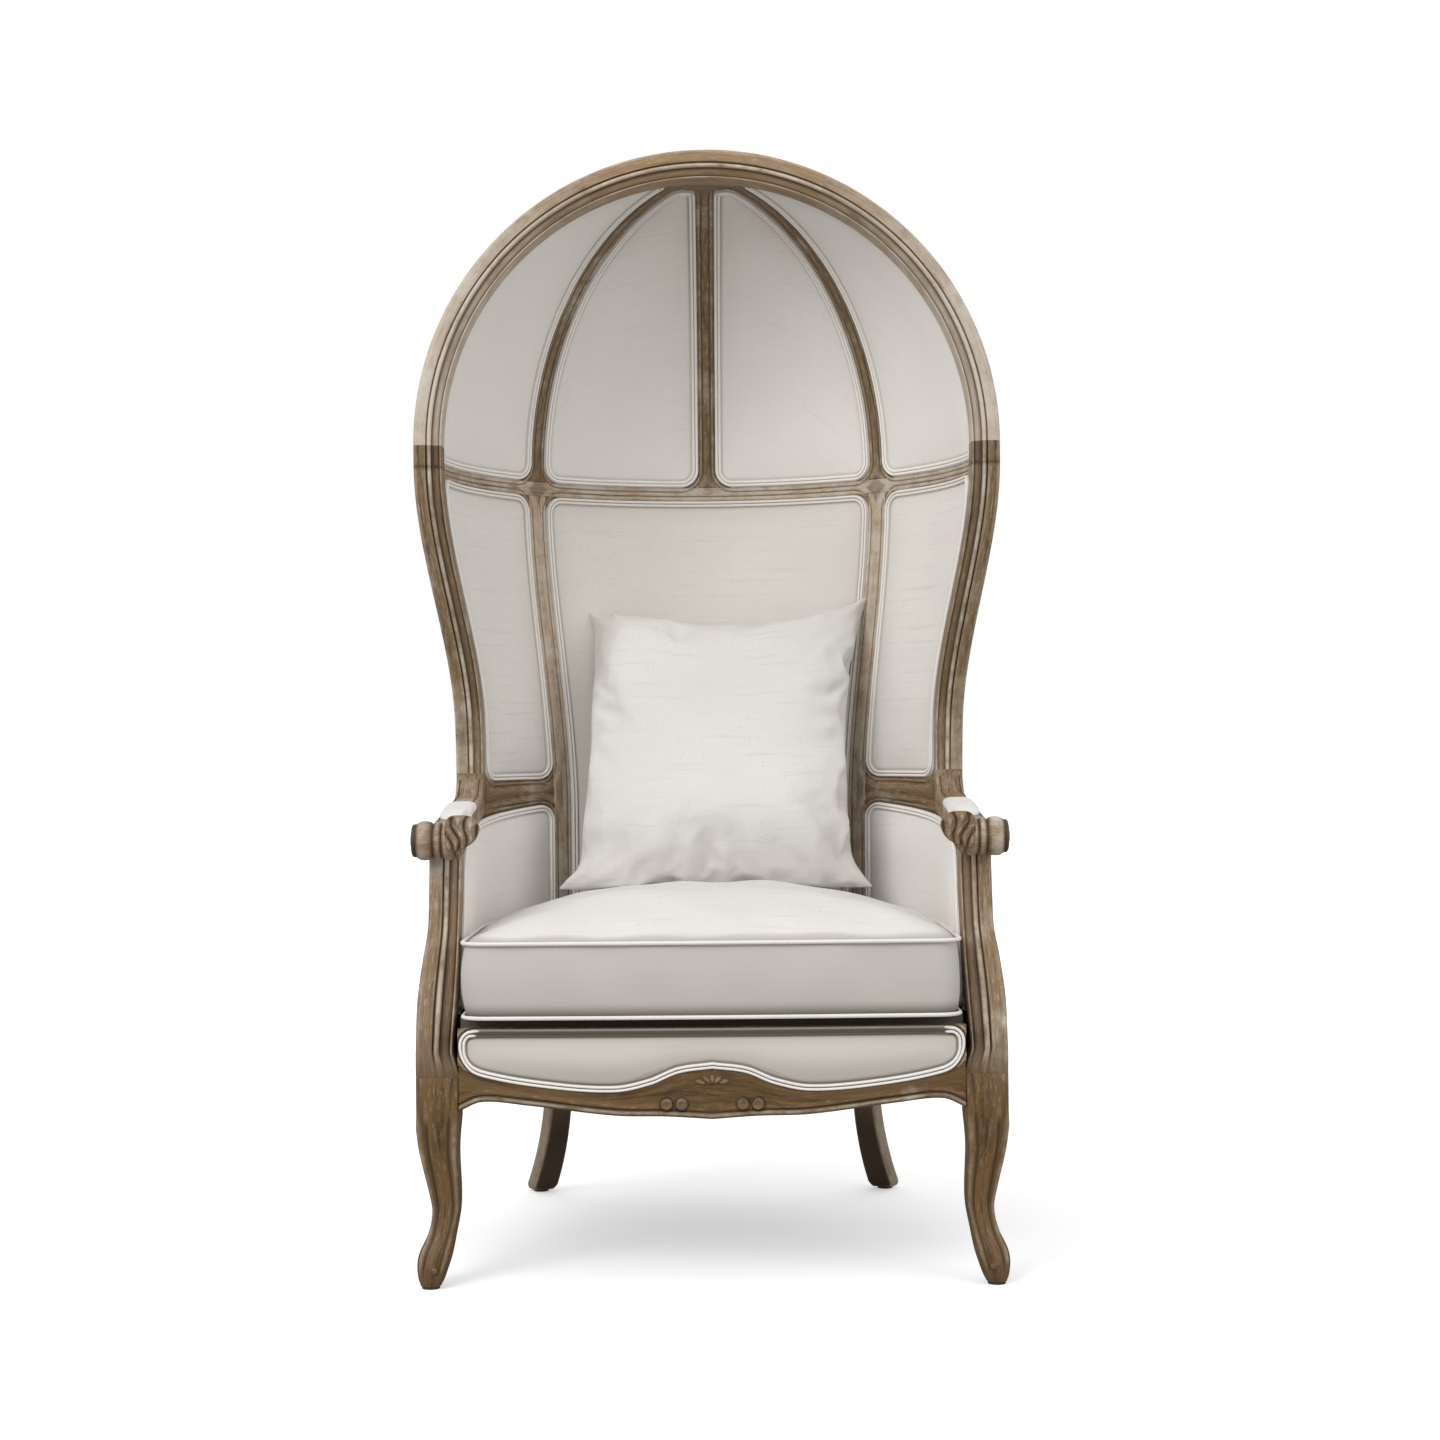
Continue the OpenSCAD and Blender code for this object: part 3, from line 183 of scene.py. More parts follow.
def armPost(z):
    # Front depth, middle, width and thickness of an arm post at a height.
    t = (np.asarray(z, float) - chair["legHeight"]) / (armPostTop - chair["legHeight"])
    block = chair["blockWidth"]
    return (armPostFront + armPostSweep * curve(armPostShares, t, 1),
            chair["legReach"] + block * curve(armPostShares, t, 2),
            block * curve(armPostShares, t, 3), block * curve(armPostShares, t, 4))


def armPostBack(z):
    front, middle, width, thickness = armPost(np.clip(z, chair["legHeight"], armPostTop))
    return np.maximum(front + thickness, chair["blockSetback"] + chair["blockWidth"])


def bowed(a, b, sag, u, faceA, faceB):
    # Arc from a to b that bows out by sag, with its outward direction turned to the faces at its
    # ends.
    chord = b - a
    half = np.linalg.norm(chord, axis=-1, keepdims=True) / 2
    way = unit(chord)
    out = stack(way[..., 1], -way[..., 0])
    sag = np.asarray(sag)[..., None] if np.ndim(sag) else sag
    u = np.asarray(u)[..., None]
    radius = (half * half + sag * sag) / (2 * sag)
    turn = (2 * u - 1) * np.arcsin(half / radius)
    aim = out * np.cos(turn) + way * np.sin(turn)
    face = np.where(u < 0.5, faceA, faceB)
    return (a + b) / 2 - out * (radius - sag) + aim * radius, unit(mix(aim, face, (2 * u - 1) ** 4))


def armFace(u, z):
    # Side wall under the arm: a cubic curve in plan that leaves the arm post straight back and
    # turns in to the back post.
    u, z = np.broadcast_arrays(np.asarray(u, float), np.asarray(z, float))
    a = stack(armReach, armPostBack(z) + fitGap)
    b = postFace(z, 1)
    p = a + stack(0 * z, (b[..., 1] - a[..., 1]) * 0.46)
    q = b + postSide * chair["postWidth"] * 5.4
    u = u[..., None]
    v = 1 - u
    way = (p - a) * v * v + (q - p) * 2 * v * u + (b - q) * u * u
    place = a * v ** 3 + p * 3 * v * v * u + q * 3 * v * u * u + b * u ** 3
    return place, unit(stack(way[..., 1], -way[..., 0]))


def wingFace(u, z):
    u, z = np.broadcast_arrays(np.asarray(u, float), np.asarray(z, float))
    high = ease((z - chair["waistHeight"]) / (beltLevel - chair["waistHeight"]))
    a = stack(stileOuter(z) - frameHalf, stileMiddle(z) + stileThickness(z) / 2 + fitGap)
    sag = mix(0.3, 0.64, high) * chair["frameWidth"]
    return bowed(a, postFace(z, 1), sag, u, np.array([1.0, 0]), postOut)


def backFace(u, z):
    u, z = np.broadcast_arrays(np.asarray(u, float), np.asarray(z, float))
    right = postFace(z, -1)
    left = right * np.array([-1, 1])
    low = ease((chair["postBend"] - z) / (chair["postBend"] - chair["railTop"]))
    high = ease((z - chair["postBend"]) / (beltLevel - chair["postBend"]))
    full = chair["hoodSetback"] + chair["hoodRadius"] - ribHalf - right[..., 1]
    sag = mix(mix(1.4, 1.1, low) * chair["postWidth"], full, high)
    return bowed(right, left, sag, u, postOut, postOut * np.array([-1, 1]))


def wallPlace(face, frontHalf, side):
    # Place and normal on one side of a wall, from u along it and z: side -1 faces the sitter, 1
    # faces out.
    def place(u, z):
        p, out = face(u, z)
        half = mix(frontHalf, ribHalf, held(u))[..., None]
        p = p + out * side * half
        normal = stack(out[..., 0] * side, out[..., 1] * side, 0 * z)
        return stack(p[..., 0], p[..., 1] + seatShift, z), normal
    return place


# Meshes. Each point has a tone, which its material reads: on oak, above 0 is pale wax and below 0
# darker wood, for dark joints and for painted shade in grooves and on the rear legs; on linen, above 0
# is the cords' paler colour, and painted light on some panels, and below 0 painted shade.

def gridShell(points, tone=0.0, ends=True):
    # A tube of quads from a grid: each row is a ring, whose last column joins its first. Its UV map
    # runs in metres, round the ring and then along the rows. With ends, a fan of triangles closes
    # the first and the last row.
    rows, cols = points.shape[:2]
    r = np.arange(rows - 1)[:, None]
    c = np.arange(cols)[None, :]
    c2 = (c + 1) % cols
    quads = stack(r * cols + c, r * cols + c2, (r + 1) * cols + c2, (r + 1) * cols + c)
    ring = np.concatenate([points, points[:, :1]], 1)
    across = np.concatenate([[0], np.cumsum(np.linalg.norm(np.diff(ring, axis=1), axis=-1).mean(0))])
    along = np.concatenate([[0], np.cumsum(np.linalg.norm(np.diff(points, axis=0), axis=-1).mean(1))])
    ua, ub = across[c], across[c + 1]
    va, vb = along[r], along[r + 1]
    uv = np.stack([stack(ua, va), stack(ub, va), stack(ub, vb), stack(ua, vb)], 2)
    shell = {"points": points.reshape(-1, 3),
             "quads": quads.reshape(-1, 4), "quadUv": uv.reshape(-1, 4, 2),
             "tris": np.zeros((0, 3), int), "triUv": np.zeros((0, 3, 2)),
             "tone": np.broadcast_to(tone, (rows, cols)).ravel()}
    if ends:
        n = rows * cols
        centres = np.stack([points[0].mean(0), points[-1].mean(0)])
        i = np.arange(cols)
        j = (i + 1) % cols
        last = (rows - 1) * cols
        tris = np.concatenate([stack(j, i, n), stack(last + i, last + j, n + 1)])
        shell["points"] = np.concatenate([shell["points"], centres])
        shell["tone"] = np.concatenate([shell["tone"], shell["tone"][[0, -1]]])
        shell["tris"] = tris
        shell["triUv"] = shell["points"][tris][..., [0, 2]]
    return shell


def outward(shell):
    # The same shell with its faces turned to enclose a positive volume.
    p = shell["points"] - shell["points"].mean(0)
    volume = 0
    for faces in (shell["tris"], shell["quads"][:, [0, 1, 2]], shell["quads"][:, [0, 2, 3]]):
        volume += np.einsum("ij,ij->", p[faces[:, 0]], np.cross(p[faces[:, 1]], p[faces[:, 2]]))
    if volume < 0:
        for key in ("quads", "quadUv", "tris", "triUv"):
            shell[key] = shell[key][:, ::-1]
    return shell


def makePiece(name, shells, body, material, replaced=(), smooth=40):
    # Joins shells into one mesh object that rides on a body and stands for the named nodes.
    shells = [outward(s) for s in shells]
    starts = np.cumsum([0] + [len(s["points"]) for s in shells[:-1]])
    quads = np.concatenate([s["quads"] + k for s, k in zip(shells, starts)])
    tris = np.concatenate([s["tris"] + k for s, k in zip(shells, starts)])
    points = np.concatenate([s["points"] for s in shells])
    uv = np.concatenate([np.concatenate([s["quadUv"] for s in shells]).reshape(-1, 2),
                         np.concatenate([s["triUv"] for s in shells]).reshape(-1, 2)])
    mesh = bpy.data.meshes.new(name)
    mesh.vertices.add(len(points))
    mesh.vertices.foreach_set("co", points.astype(np.float32).ravel())
    mesh.loops.add(quads.size + tris.size)
    corners = np.concatenate([quads.ravel(), tris.ravel()])
    mesh.loops.foreach_set("vertex_index", corners.astype(np.int32))
    mesh.polygons.add(len(quads) + len(tris))
    sizes = np.concatenate([np.full(len(quads), 4), np.full(len(tris), 3)])
    starts = np.concatenate([[0], np.cumsum(sizes)[:-1]])
    mesh.polygons.foreach_set("loop_start", starts.astype(np.int32))
    mesh.polygons.foreach_set("loop_total", sizes.astype(np.int32))
    mesh.update(calc_edges=True)
    mesh.uv_layers.new(name="UVMap").data.foreach_set("uv", uv.astype(np.float32).ravel())
    tone = mesh.attributes.new("tone", "FLOAT", "POINT")
    tone.data.foreach_set("value", np.concatenate([s["tone"] for s in shells]).astype(np.float32))
    mesh.validate()
    mesh.polygons.foreach_set("use_smooth", np.ones(len(mesh.polygons), bool))
    mesh.set_sharp_from_angle(angle=math.radians(smooth))
    piece = bpy.data.objects.new(name, mesh)
    bpy.context.scene.collection.objects.link(piece)
    piece.data.materials.append(material)
    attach(piece, body)
    if replaced:
        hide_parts(*replaced)
    return piece


def pathLength(points):
    return np.concatenate([[0], np.cumsum(np.linalg.norm(np.diff(points, axis=0), axis=-1))])


def evenLoop(corners, places):
    # Points along a closed loop, at the places worked out from its whole length.
    loop = np.concatenate([corners, corners[:1]])
    length = pathLength(loop)
    return np.stack([np.interp(places(length[-1]), length, loop[:, k]) for k in (0, 1)], -1)


def mirrored(shell):
    copy = dict(shell)
    copy["points"] = shell["points"] * np.array([-1, 1, 1])
    return copy


def closedRows(points, tone):
    # A grid whose last row is its first again: the two become one.
    shell = gridShell(points, tone, ends=False)
    count = points.shape[1] * (len(points) - 1)
    shell["quads"] = np.where(shell["quads"] >= count, shell["quads"] - count, shell["quads"])
    shell["points"], shell["tone"] = shell["points"][:count], shell["tone"][:count]
    return shell


def chartQuads(chart):
    # UV places of a ring grid's quads, from a chart with one place for each point.
    after = np.roll(chart, -1, 1)
    return np.stack([chart[:-1], after[:-1], after[1:], chart[1:]], 2)


def tubeShell(path, normals, radius, sides=10):
    # A round tube along a closed path: each ring turns about the path in the plane of the given
    # normal and the side direction.
    way = unit(np.roll(path, -1, 0) - np.roll(path, 1, 0))
    side = unit(np.cross(way, normals))
    up = np.cross(side, way)
    turn = np.linspace(0, 2 * np.pi, sides, endpoint=False)[:, None]
    points = path[:, None] + radius * (side[:, None] * np.cos(turn) + up[:, None] * np.sin(turn))
    return closedRows(np.concatenate([points, points[:1]]), 0)


# Materials

def newMaterial(name):
    material = bpy.data.materials.new(name)
    material.use_nodes = True
    tree = material.node_tree
    shader = tree.nodes["Principled BSDF"]
    return material, tree, shader


def addNode(tree, kind, inputs=None, **settings):
    node = tree.nodes.new(kind)
    for key, value in settings.items():
        setattr(node, key, value)
    for key, value in (inputs or {}).items():
        if isinstance(value, bpy.types.NodeSocket):
            tree.links.new(value, node.inputs[key])
        else:
            node.inputs[key].default_value = value
    return node


def ramp(tree, factor, stops):
    # A colour ramp: stops are pairs of place and colour.
    node = addNode(tree, "ShaderNodeValToRGB", {"Fac": factor})
    elements = node.color_ramp.elements
    elements[0].position, elements[0].color = stops[0][0], (*stops[0][1], 1)
    elements[1].position, elements[1].color = stops[-1][0], (*stops[-1][1], 1)
    for place, colour in stops[1:-1]:
        elements.new(place).color = (*colour, 1)
    return node.outputs["Color"]


def blendColour(tree, factor, a, b):
    node = addNode(tree, "ShaderNodeMix", data_type="RGBA", blend_type="MIX")
    for socket, value in ((node.inputs["Factor"], factor), (node.inputs[6], a), (node.inputs[7], b)):
        if isinstance(value, bpy.types.NodeSocket):
            tree.links.new(value, socket)
        else:
            socket.default_value = value if isinstance(value, float) else (*value, 1)
    return node.outputs[2]


def noise(tree, coordinates, scale, stretch=(1, 1, 1), detail=4, roughness=0.55, distortion=0.0):
    mapped = addNode(tree, "ShaderNodeMapping", {"Vector": coordinates, "Scale": stretch})
    inputs = {"Vector": mapped.outputs["Vector"], "Scale": scale, "Detail": detail,
              "Roughness": roughness, "Distortion": distortion}
    return addNode(tree, "ShaderNodeTexNoise", inputs).outputs["Fac"]


def coordinate(tree, kind):
    return addNode(tree, "ShaderNodeTexCoord").outputs[kind]


def combine(tree, operation, a, b, **settings):
    return addNode(tree, "ShaderNodeMath", {0: a, 1: b}, operation=operation, **settings).outputs[0]


def level(tree, value, low, high):
    # 0 below low, 1 above high, and a straight rise between.
    span = {"Value": value, "From Min": low, "From Max": high}
    return addNode(tree, "ShaderNodeMapRange", span).outputs["Result"]


# Scales of the oak's noises, colour of its wax, and the most of it that lies on the wood
finish = {"grain": 260, "figure": 60, "pores": 900, "flecks": 310, "patches": 9, "blotches": 34,
          "wax": (0.56, 0.50, 0.42), "cover": 0.86}


def times(colour, factor, more=0):
    return tuple(min(1, c * factor + more) for c in colour)


def oakMaterial(name, lime, grainAxis, dark=(0.080, 0.048, 0.028), body=(0.25, 0.165, 0.10), high=None):
    # Limed oak: brown grain stretched along the piece, pale wax in its pores and rubbed over its
    # high places.
    material, tree, shader = newMaterial(name)
    usesUv = grainAxis == "uv"
    place = coordinate(tree, "UV" if usesUv else "Object")
    wide = coordinate(tree, "Object")
    stretch = (1, 0.045, 1) if usesUv else tuple(0.05 if k == grainAxis else 1 for k in "xyz")
    grain = noise(tree, place, finish["grain"], stretch, 5, 0.6, 0.3)
    figure = noise(tree, place, finish["figure"], stretch, 3, 0.5, 0.6)
    pores = noise(tree, place, finish["pores"], stretch, 2, 0.5)
    patches = noise(tree, wide, finish["patches"], (1, 1, 1), 4, 0.6)
    blotches = noise(tree, wide, finish["blotches"], (1, 1, 1), 4, 0.65)
    brown = ramp(tree, grain, [(0.30, dark), (0.50, body), (0.72, times(body, 1.7))])
    brown = blendColour(tree, level(tree, figure, 0.42, 0.62), brown, times(body, 1.25, 0.01))
    if high:  # browner towards the top of the hood
        up = addNode(tree, "ShaderNodeSeparateXYZ", {0: wide}).outputs["Z"]
        upper = level(tree, up, hoodLevel + 0.17, hoodLevel + 0.36)
        topBrown = ramp(tree, grain, [(0.30, times(high, 0.4)), (0.50, high), (0.72, times(high, 1.6))])
        brown = blendColour(tree, upper, brown, topBrown)
    streaks = level(tree, pores, 0.56, 0.66)
    tone = addNode(tree, "ShaderNodeAttribute", attribute_name="tone").outputs["Fac"]
    flecks = noise(tree, place, finish["flecks"], (1, 0.20, 1) if usesUv else stretch, 3, 0.65, 0.4)
    flecked = combine(tree, "MULTIPLY", level(tree, flecks, 0.56, 0.68), 0.22 + 0.45 * lime)
    cover = combine(tree, "ADD", level(tree, patches, 0.62 - 0.28 * lime, 0.80 - 0.22 * lime), tone)
    cover = combine(tree, "MULTIPLY", cover, level(tree, blotches, 0.30, 0.62))
    cover = combine(tree, "ADD", cover, flecked)
    cover = combine(tree, "MULTIPLY", cover, finish["cover"], use_clamp=True)
    filled = combine(tree, "MULTIPLY", streaks, 0.10 + 0.48 * lime)
    colour = blendColour(tree, cover, blendColour(tree, filled, brown, finish["wax"]), finish["wax"])
    if high:
        colour = blendColour(tree, combine(tree, "MULTIPLY", upper, 0.62), colour, brown)
    # Below 0 the tone darkens the wood: dark joints, and painted shade in grooves and on the rear legs.
    sunk = level(tree, tone, -1.0, -0.05)
    colour = blendColour(tree, sunk, times(dark, 0.8), colour)
    tree.links.new(colour, shader.inputs["Base Color"])
    rough = addNode(tree, "ShaderNodeMapRange", {"Value": grain, "To Min": 0.42, "To Max": 0.62})
    tree.links.new(rough.outputs["Result"], shader.inputs["Roughness"])
    bump = addNode(tree, "ShaderNodeBump", {"Height": grain, "Strength": 0.25, "Distance": 0.0006})
    fine = addNode(tree, "ShaderNodeBump", {"Height": streaks, "Strength": 0.3, "Distance": 0.0004,
                                            "Normal": bump.outputs["Normal"]})
    tree.links.new(fine.outputs["Normal"], shader.inputs["Normal"])
    shader.inputs["Specular IOR Level"].default_value = 0.35
    return material


# Scales of the linen's threads, slubs and soft patches; its colour where the tone is 1, the cords'
# paler colour, which also gives painted light on some panels; and the share of its own colour that is
# left where the tone is -1 and -2, painted shade and deep painted shade
weave = {"threads": 620, "slubs": 130, "patches": 7, "pale": (0.92, 0.895, 0.855),
         "shade": (0.67, 0.642, 0.605), "gloom": (0.125, 0.105, 0.085)}


def linenMaterial(name, colour):
    # Plain linen: two crossed sets of slubby threads, with a soft sheen.
    material, tree, shader = newMaterial(name)
    place = coordinate(tree, "UV")
    warp = noise(tree, place, weave["threads"], (1, 0.06, 1), 3, 0.6)
    weft = noise(tree, place, weave["threads"], (0.06, 1, 1), 3, 0.6)
    slubs = noise(tree, place, weave["slubs"], (0.05, 1, 1), 3, 0.55)
    soft = noise(tree, coordinate(tree, "Object"), weave["patches"], (1, 1, 1), 3, 0.5)
    threads = combine(tree, "ADD", warp, weft)
    base = ramp(tree, threads, [(0.72, times(colour, 0.86)), (1.0, colour),
                                (1.30, times(colour, 1.07))])
    base = blendColour(tree, level(tree, slubs, 0.56, 0.76), base, times(colour, 0.86))
    base = blendColour(tree, level(tree, soft, 0.35, 0.75), base, times(colour, 0.955))
    tone = addNode(tree, "ShaderNodeAttribute", attribute_name="tone").outputs["Fac"]
    base = blendColour(tree, level(tree, tone, 0.0, 1.0), base, weave["pale"])
    for kind, low in (("shade", -1.0), ("gloom", -2.0)):
        dim = tuple(c * k for c, k in zip(colour, weave[kind]))
        base = blendColour(tree, level(tree, tone, low, low + 1.0), dim, base)
    tree.links.new(base, shader.inputs["Base Color"])
    bump = addNode(tree, "ShaderNodeBump", {"Height": threads, "Strength": 0.35, "Distance": 0.0004})
    slub = addNode(tree, "ShaderNodeBump", {"Height": slubs, "Strength": 0.15, "Distance": 0.0008,
                                            "Normal": bump.outputs["Normal"]})
    tree.links.new(slub.outputs["Normal"], shader.inputs["Normal"])
    shader.inputs["Roughness"].default_value = 0.92
    shader.inputs["Sheen Weight"].default_value = 0.18
    shader.inputs["Sheen Roughness"].default_value = 0.5
    shader.inputs["Specular IOR Level"].default_value = 0.2
    return material


def plainMaterial(name, colour, roughness, metallic=0.0, grain=80, depth=0.0003):
    # An even finish with a little variation in its colour and a fine bump.
    material, tree, shader = newMaterial(name)
    speckle = noise(tree, coordinate(tree, "Object"), grain, (1, 1, 1), 4, 0.6)
    base = ramp(tree, speckle, [(0.3, times(colour, 0.8)), (0.7, times(colour, 1.15))])
    tree.links.new(base, shader.inputs["Base Color"])
    bump = addNode(tree, "ShaderNodeBump", {"Height": speckle, "Strength": 0.2, "Distance": depth})
    tree.links.new(bump.outputs["Normal"], shader.inputs["Normal"])
    shader.inputs["Roughness"].default_value = roughness
    shader.inputs["Metallic"].default_value = metallic
    return material


oak = oakMaterial("limed_oak", 0.50, "uv", (0.060, 0.033, 0.013), (0.195, 0.122, 0.060))
darkOak = oakMaterial("waxed_oak", 0.02, "uv", (0.036, 0.018, 0.004), (0.118, 0.062, 0.016))
frameOak = oakMaterial("rubbed_limed_oak", 1.35, "uv", (0.10, 0.058, 0.027), (0.34, 0.235, 0.145))
stileOak = oakMaterial("olive_limed_oak", 0.34, "uv", (0.052, 0.030, 0.011), (0.165, 0.104, 0.048))
paleOak = oakMaterial("pale_limed_oak", 1.15, "uv", (0.13, 0.088, 0.055), (0.36, 0.285, 0.215),
                      high=(0.235, 0.150, 0.075))
crownOak = oakMaterial("dark_limed_oak", 0.16, "uv", (0.075, 0.042, 0.018), (0.235, 0.150, 0.075))
crossOak = oakMaterial("limed_oak_level", 0.45, "x")
darkCross = oakMaterial("dark_oak_level", 0.05, "x", (0.07, 0.042, 0.024), (0.17, 0.11, 0.065))
deepOak = oakMaterial("limed_oak_deep", 0.45, "y")
plainWood = oakMaterial("planed_wood", 0.0, "x", (0.30, 0.20, 0.11), (0.46, 0.34, 0.21))
linen = linenMaterial("linen", (0.785, 0.757, 0.715))
# A dark lining for the deck; its colour also stands in for the shade in the gap under the cushion.
deckLinenAndShade = linenMaterial("deck_lining", (0.150, 0.128, 0.105))
paleLinen = linenMaterial("pale_linen", (0.705, 0.685, 0.654))
piping = linenMaterial("linen_piping", (0.80, 0.775, 0.73))
steel = plainMaterial("drawn_steel", (0.45, 0.45, 0.46), 0.35, 1.0, 300)
blackCloth = plainMaterial("dust_cloth", (0.022, 0.022, 0.024), 0.95, 0.0, 600)
blackPlastic = plainMaterial("glide_plastic", (0.045, 0.038, 0.032), 0.5)
print("materials made")

# Finishes of the solids that show as they are
finishes = {"side_rail_left": deepOak, "side_rail_right": deepOak, "rear_rail": crossOak,
            "corner_blocks": plainWood, "crown_block": darkCross, "seat_springs": steel,
            "spring_clips": steel, "corner_screws": steel, "foot_glides": blackPlastic}
for name, material in finishes.items():
    nodes[name].data.materials.clear()
    nodes[name].data.materials.append(material)


# Upholstered panels: a crowned cloth with rounded corners, two cords of piping round its edge, and
# the wooden fillets that fill the corners of its frame.
panel = {
    "around": 420, "cornerRadius": 0.028, "cord": 0.0019, "cords": [0.0026, 0.0076],
    "levels": [0.0, 0.0008, 0.002, 0.005, 0.0095, 0.0105, 0.0115, 0.0125, 0.014, 0.0165],
    "inner": 26, "behind": 7, "edgeSink": 0.0015, "edgeRound": 0.006, "swellRun": 0.036,
    "seam": 0.0112, "seamDepth": 0.0018, "seamWidth": 0.0016,
    # shade beside and between the cords: how dark, how far in, and how wide
    "shades": [(0.75, 0.0108, 0.0018), (0.9, 0.0051, 0.0012)], "rimShade": 0.26,
}


def roundedDistance(distances, radius):
    # Distance into a panel from its edges, whose corners are rounded by radius.
    short = np.maximum(radius - distances, 0)
    near = np.sqrt((short ** 2).sum(0))
    return np.where(near > 0, radius - near, distances.min(0))


def crossing(test, middle, ways):
    # Along each way out from the middle, the share at which the test first turns negative, found by
    # halving.
    steps = np.linspace(0, 1, 97)
    values = test(*(middle[:, None, None] + ways[:, :, None] * steps))
    first = np.argmax(values < 0, axis=1)
    low, high = steps[first - 1], steps[first]
    for _ in range(26):
        half = (low + high) / 2
        inside = test(*(middle[:, None] + ways * half)) >= 0
        low, high = np.where(inside, half, low), np.where(inside, high, half)
    return (low + high) / 2


def panelRings(place, edges, middle, reach, radius):
    # Directions out from the middle of a panel whose edge points lie evenly spaced, and a function
    # that gives the ring at a distance in from the edge.
    middle = np.array(middle, float)

    def ways(turns):
        return np.stack([np.cos(turns) * reach[0], np.sin(turns) * reach[1]])

    def ringAt(turns, distance):
        def test(a, b):
            return roundedDistance(edges(a, b), radius(a, b)) - distance
        return middle[:, None] + ways(turns) * crossing(test, middle, ways(turns))

    turns = np.linspace(0, 2 * np.pi, 1441)
    edge = place(*ringAt(turns, 0.0))[0]
    length = pathLength(edge)
    even = np.interp(np.linspace(0, length[-1], panel["around"], endpoint=False), length, turns)
    return even, ways, lambda distance: ringAt(even, distance), middle


def crownHeight(distances, crown):
    # Swell of the cloth: the crown times one factor for each edge, 1 - exp(-(distance / run)
    # squared), so that it has no ridges.
    return crown * np.prod(1 - np.exp(-(np.maximum(distances, 0) / panel["swellRun"]) ** 2), 0)


def upholster(place, edges, middle, reach, crown, depth, radius=None, cords=2):
    # Shells of a panel: cloth rings at set distances in from the edge, then rings shrinking to the
    # middle; height follows a quick roll at the edge and a slow crown. Also the piping and the
    # fillets.
    radius = radius or (lambda a, b: panel["cornerRadius"])
    turns, ways, ringAt, centre = panelRings(place, edges, middle, reach, radius)
    deepest = edges(*centre[:, None]).min()
    rings = [ringAt(v) for v in panel["levels"] if v < 0.75 * deepest]
    innerRings = panel["inner"] if cords > 1 else panel["inner"] // 2
    shrink = 1 - np.linspace(0, 1, innerRings + 1)[1:-1]
    rings += [mix(centre[:, None], rings[-1], size) for size in shrink]
    points, shade = [], []
    for ring in rings:
        p, normal = place(*ring)
        inside = np.maximum(roundedDistance(edges(*ring), radius(*ring)), 0)
        roll = panel["edgeSink"] * (quarterRound(inside / panel["edgeRound"]) - 1)
        dip = panel["seamDepth"] * hump(inside, panel["seam"], panel["seamWidth"])
        swell = crownHeight(edges(*ring, True), crown)
        points.append(p + normal * (roll - dip + swell)[:, None])
        rim = panel["rimShade"] * np.exp(-held(inside - 0.012) / 0.016) * ease(inside / 0.012)
        shade.append(-rim - sum(dark * hump(inside, *where) for dark, *where in panel["shades"]))
    p, normal = place(*centre[:, None])
    tip = p + normal * crownHeight(edges(*centre[:, None], True), crown)[:, None]
    behind = [mix(centre[:, None], rings[0], size) for size in np.linspace(0.06, 1, panel["behind"])]
    backs = []
    for ring in behind + [centre[:, None]]:
        p, normal = place(*ring)
        backs.append(p - normal * depth)
    tone = np.concatenate([np.zeros((len(behind), len(turns))), np.array(shade) * (cords > 1)])
    cloth = gridShell(np.array(backs[:-1] + points), tone, ends=False)
    scale = reachScale(place, centre)
    chart = np.array(behind + rings).transpose(0, 2, 1) * scale
    cloth = withChart(cloth, chart, tip[0], centre * scale, backs[-1][0])
    shells = [cloth]
    for distance in panel["cords"][:cords]:
        p, normal = place(*ringAt(distance))
        cord = tubeShell(p + normal * panel["cord"] * 0.55, normal, panel["cord"])
        cord["tone"] = cord["tone"] + 0.5
        shells.append(cord)
    return shells, filletShell(place, edges, radius, turns, ways, centre)


def reachScale(place, centre):
    # Metres on the wall for one unit of each chart coordinate, at the panel's middle.
    small = 1e-3
    steps = np.array([[0, 0], [1, 0], [0, 1]]) * small
    p, q, r = (place(*(centre + step)[:, None])[0][0] for step in steps)
    return np.array([np.linalg.norm(q - p), np.linalg.norm(r - p)]) / small


def withChart(shell, chart, tip, tipChart, back):
    # Gives a ring grid the chart's coordinates as its UV map, and closes it with a fan at the tip
    # and one at the back.
    rows, cols = chart.shape[:2]
    shell["quadUv"] = chartQuads(chart).reshape(-1, 4, 2)
    n = rows * cols
    i = np.arange(cols)
    j = (i + 1) % cols
    last = (rows - 1) * cols
    shell["points"] = np.concatenate([shell["points"], [tip, back]])
    shell["tone"] = np.concatenate([shell["tone"], [0, 0]])
    shell["tris"] = np.concatenate([stack(last + i, last + j, n), stack(j, i, n + 1)])
    tipUv = np.broadcast_to(tipChart, (cols, 2))
    shell["triUv"] = np.concatenate([np.stack([chart[-1, i], chart[-1, j], tipUv], 1),
                                     np.stack([chart[0, j], chart[0, i], tipUv], 1)])
    return shell


wood = {"sink": 0.0045, "round": 0.0045, "groove": 0.0072, "grooveDepth": 0.0013, "star": 0.0016}


def relief(away):
    # Height and tone of the show-wood by its distance from the panels: a quarter round out of a dark
    # joint with pale wax on its crest, a groove with painted shade in it, then a flat that rises where
    # members meet and is darker there.
    away = np.maximum(away, 0)
    groove = away - wood["groove"]
    height = (wood["sink"] * (quarterRound(away / wood["round"]) - 1)
              - wood["grooveDepth"] * hump(groove, 0, 0.0013)
              + wood["star"] * ease((away - 0.0165) / 0.007))
    tone = (0.55 * hump(away, 0.0046, 0.0013) - 0.95 * hump(away, 0, 0.0018)
            - 0.75 * hump(groove, 0, 0.0012) - 0.42 * ease((away - 0.0155) / 0.005))
    return height, tone


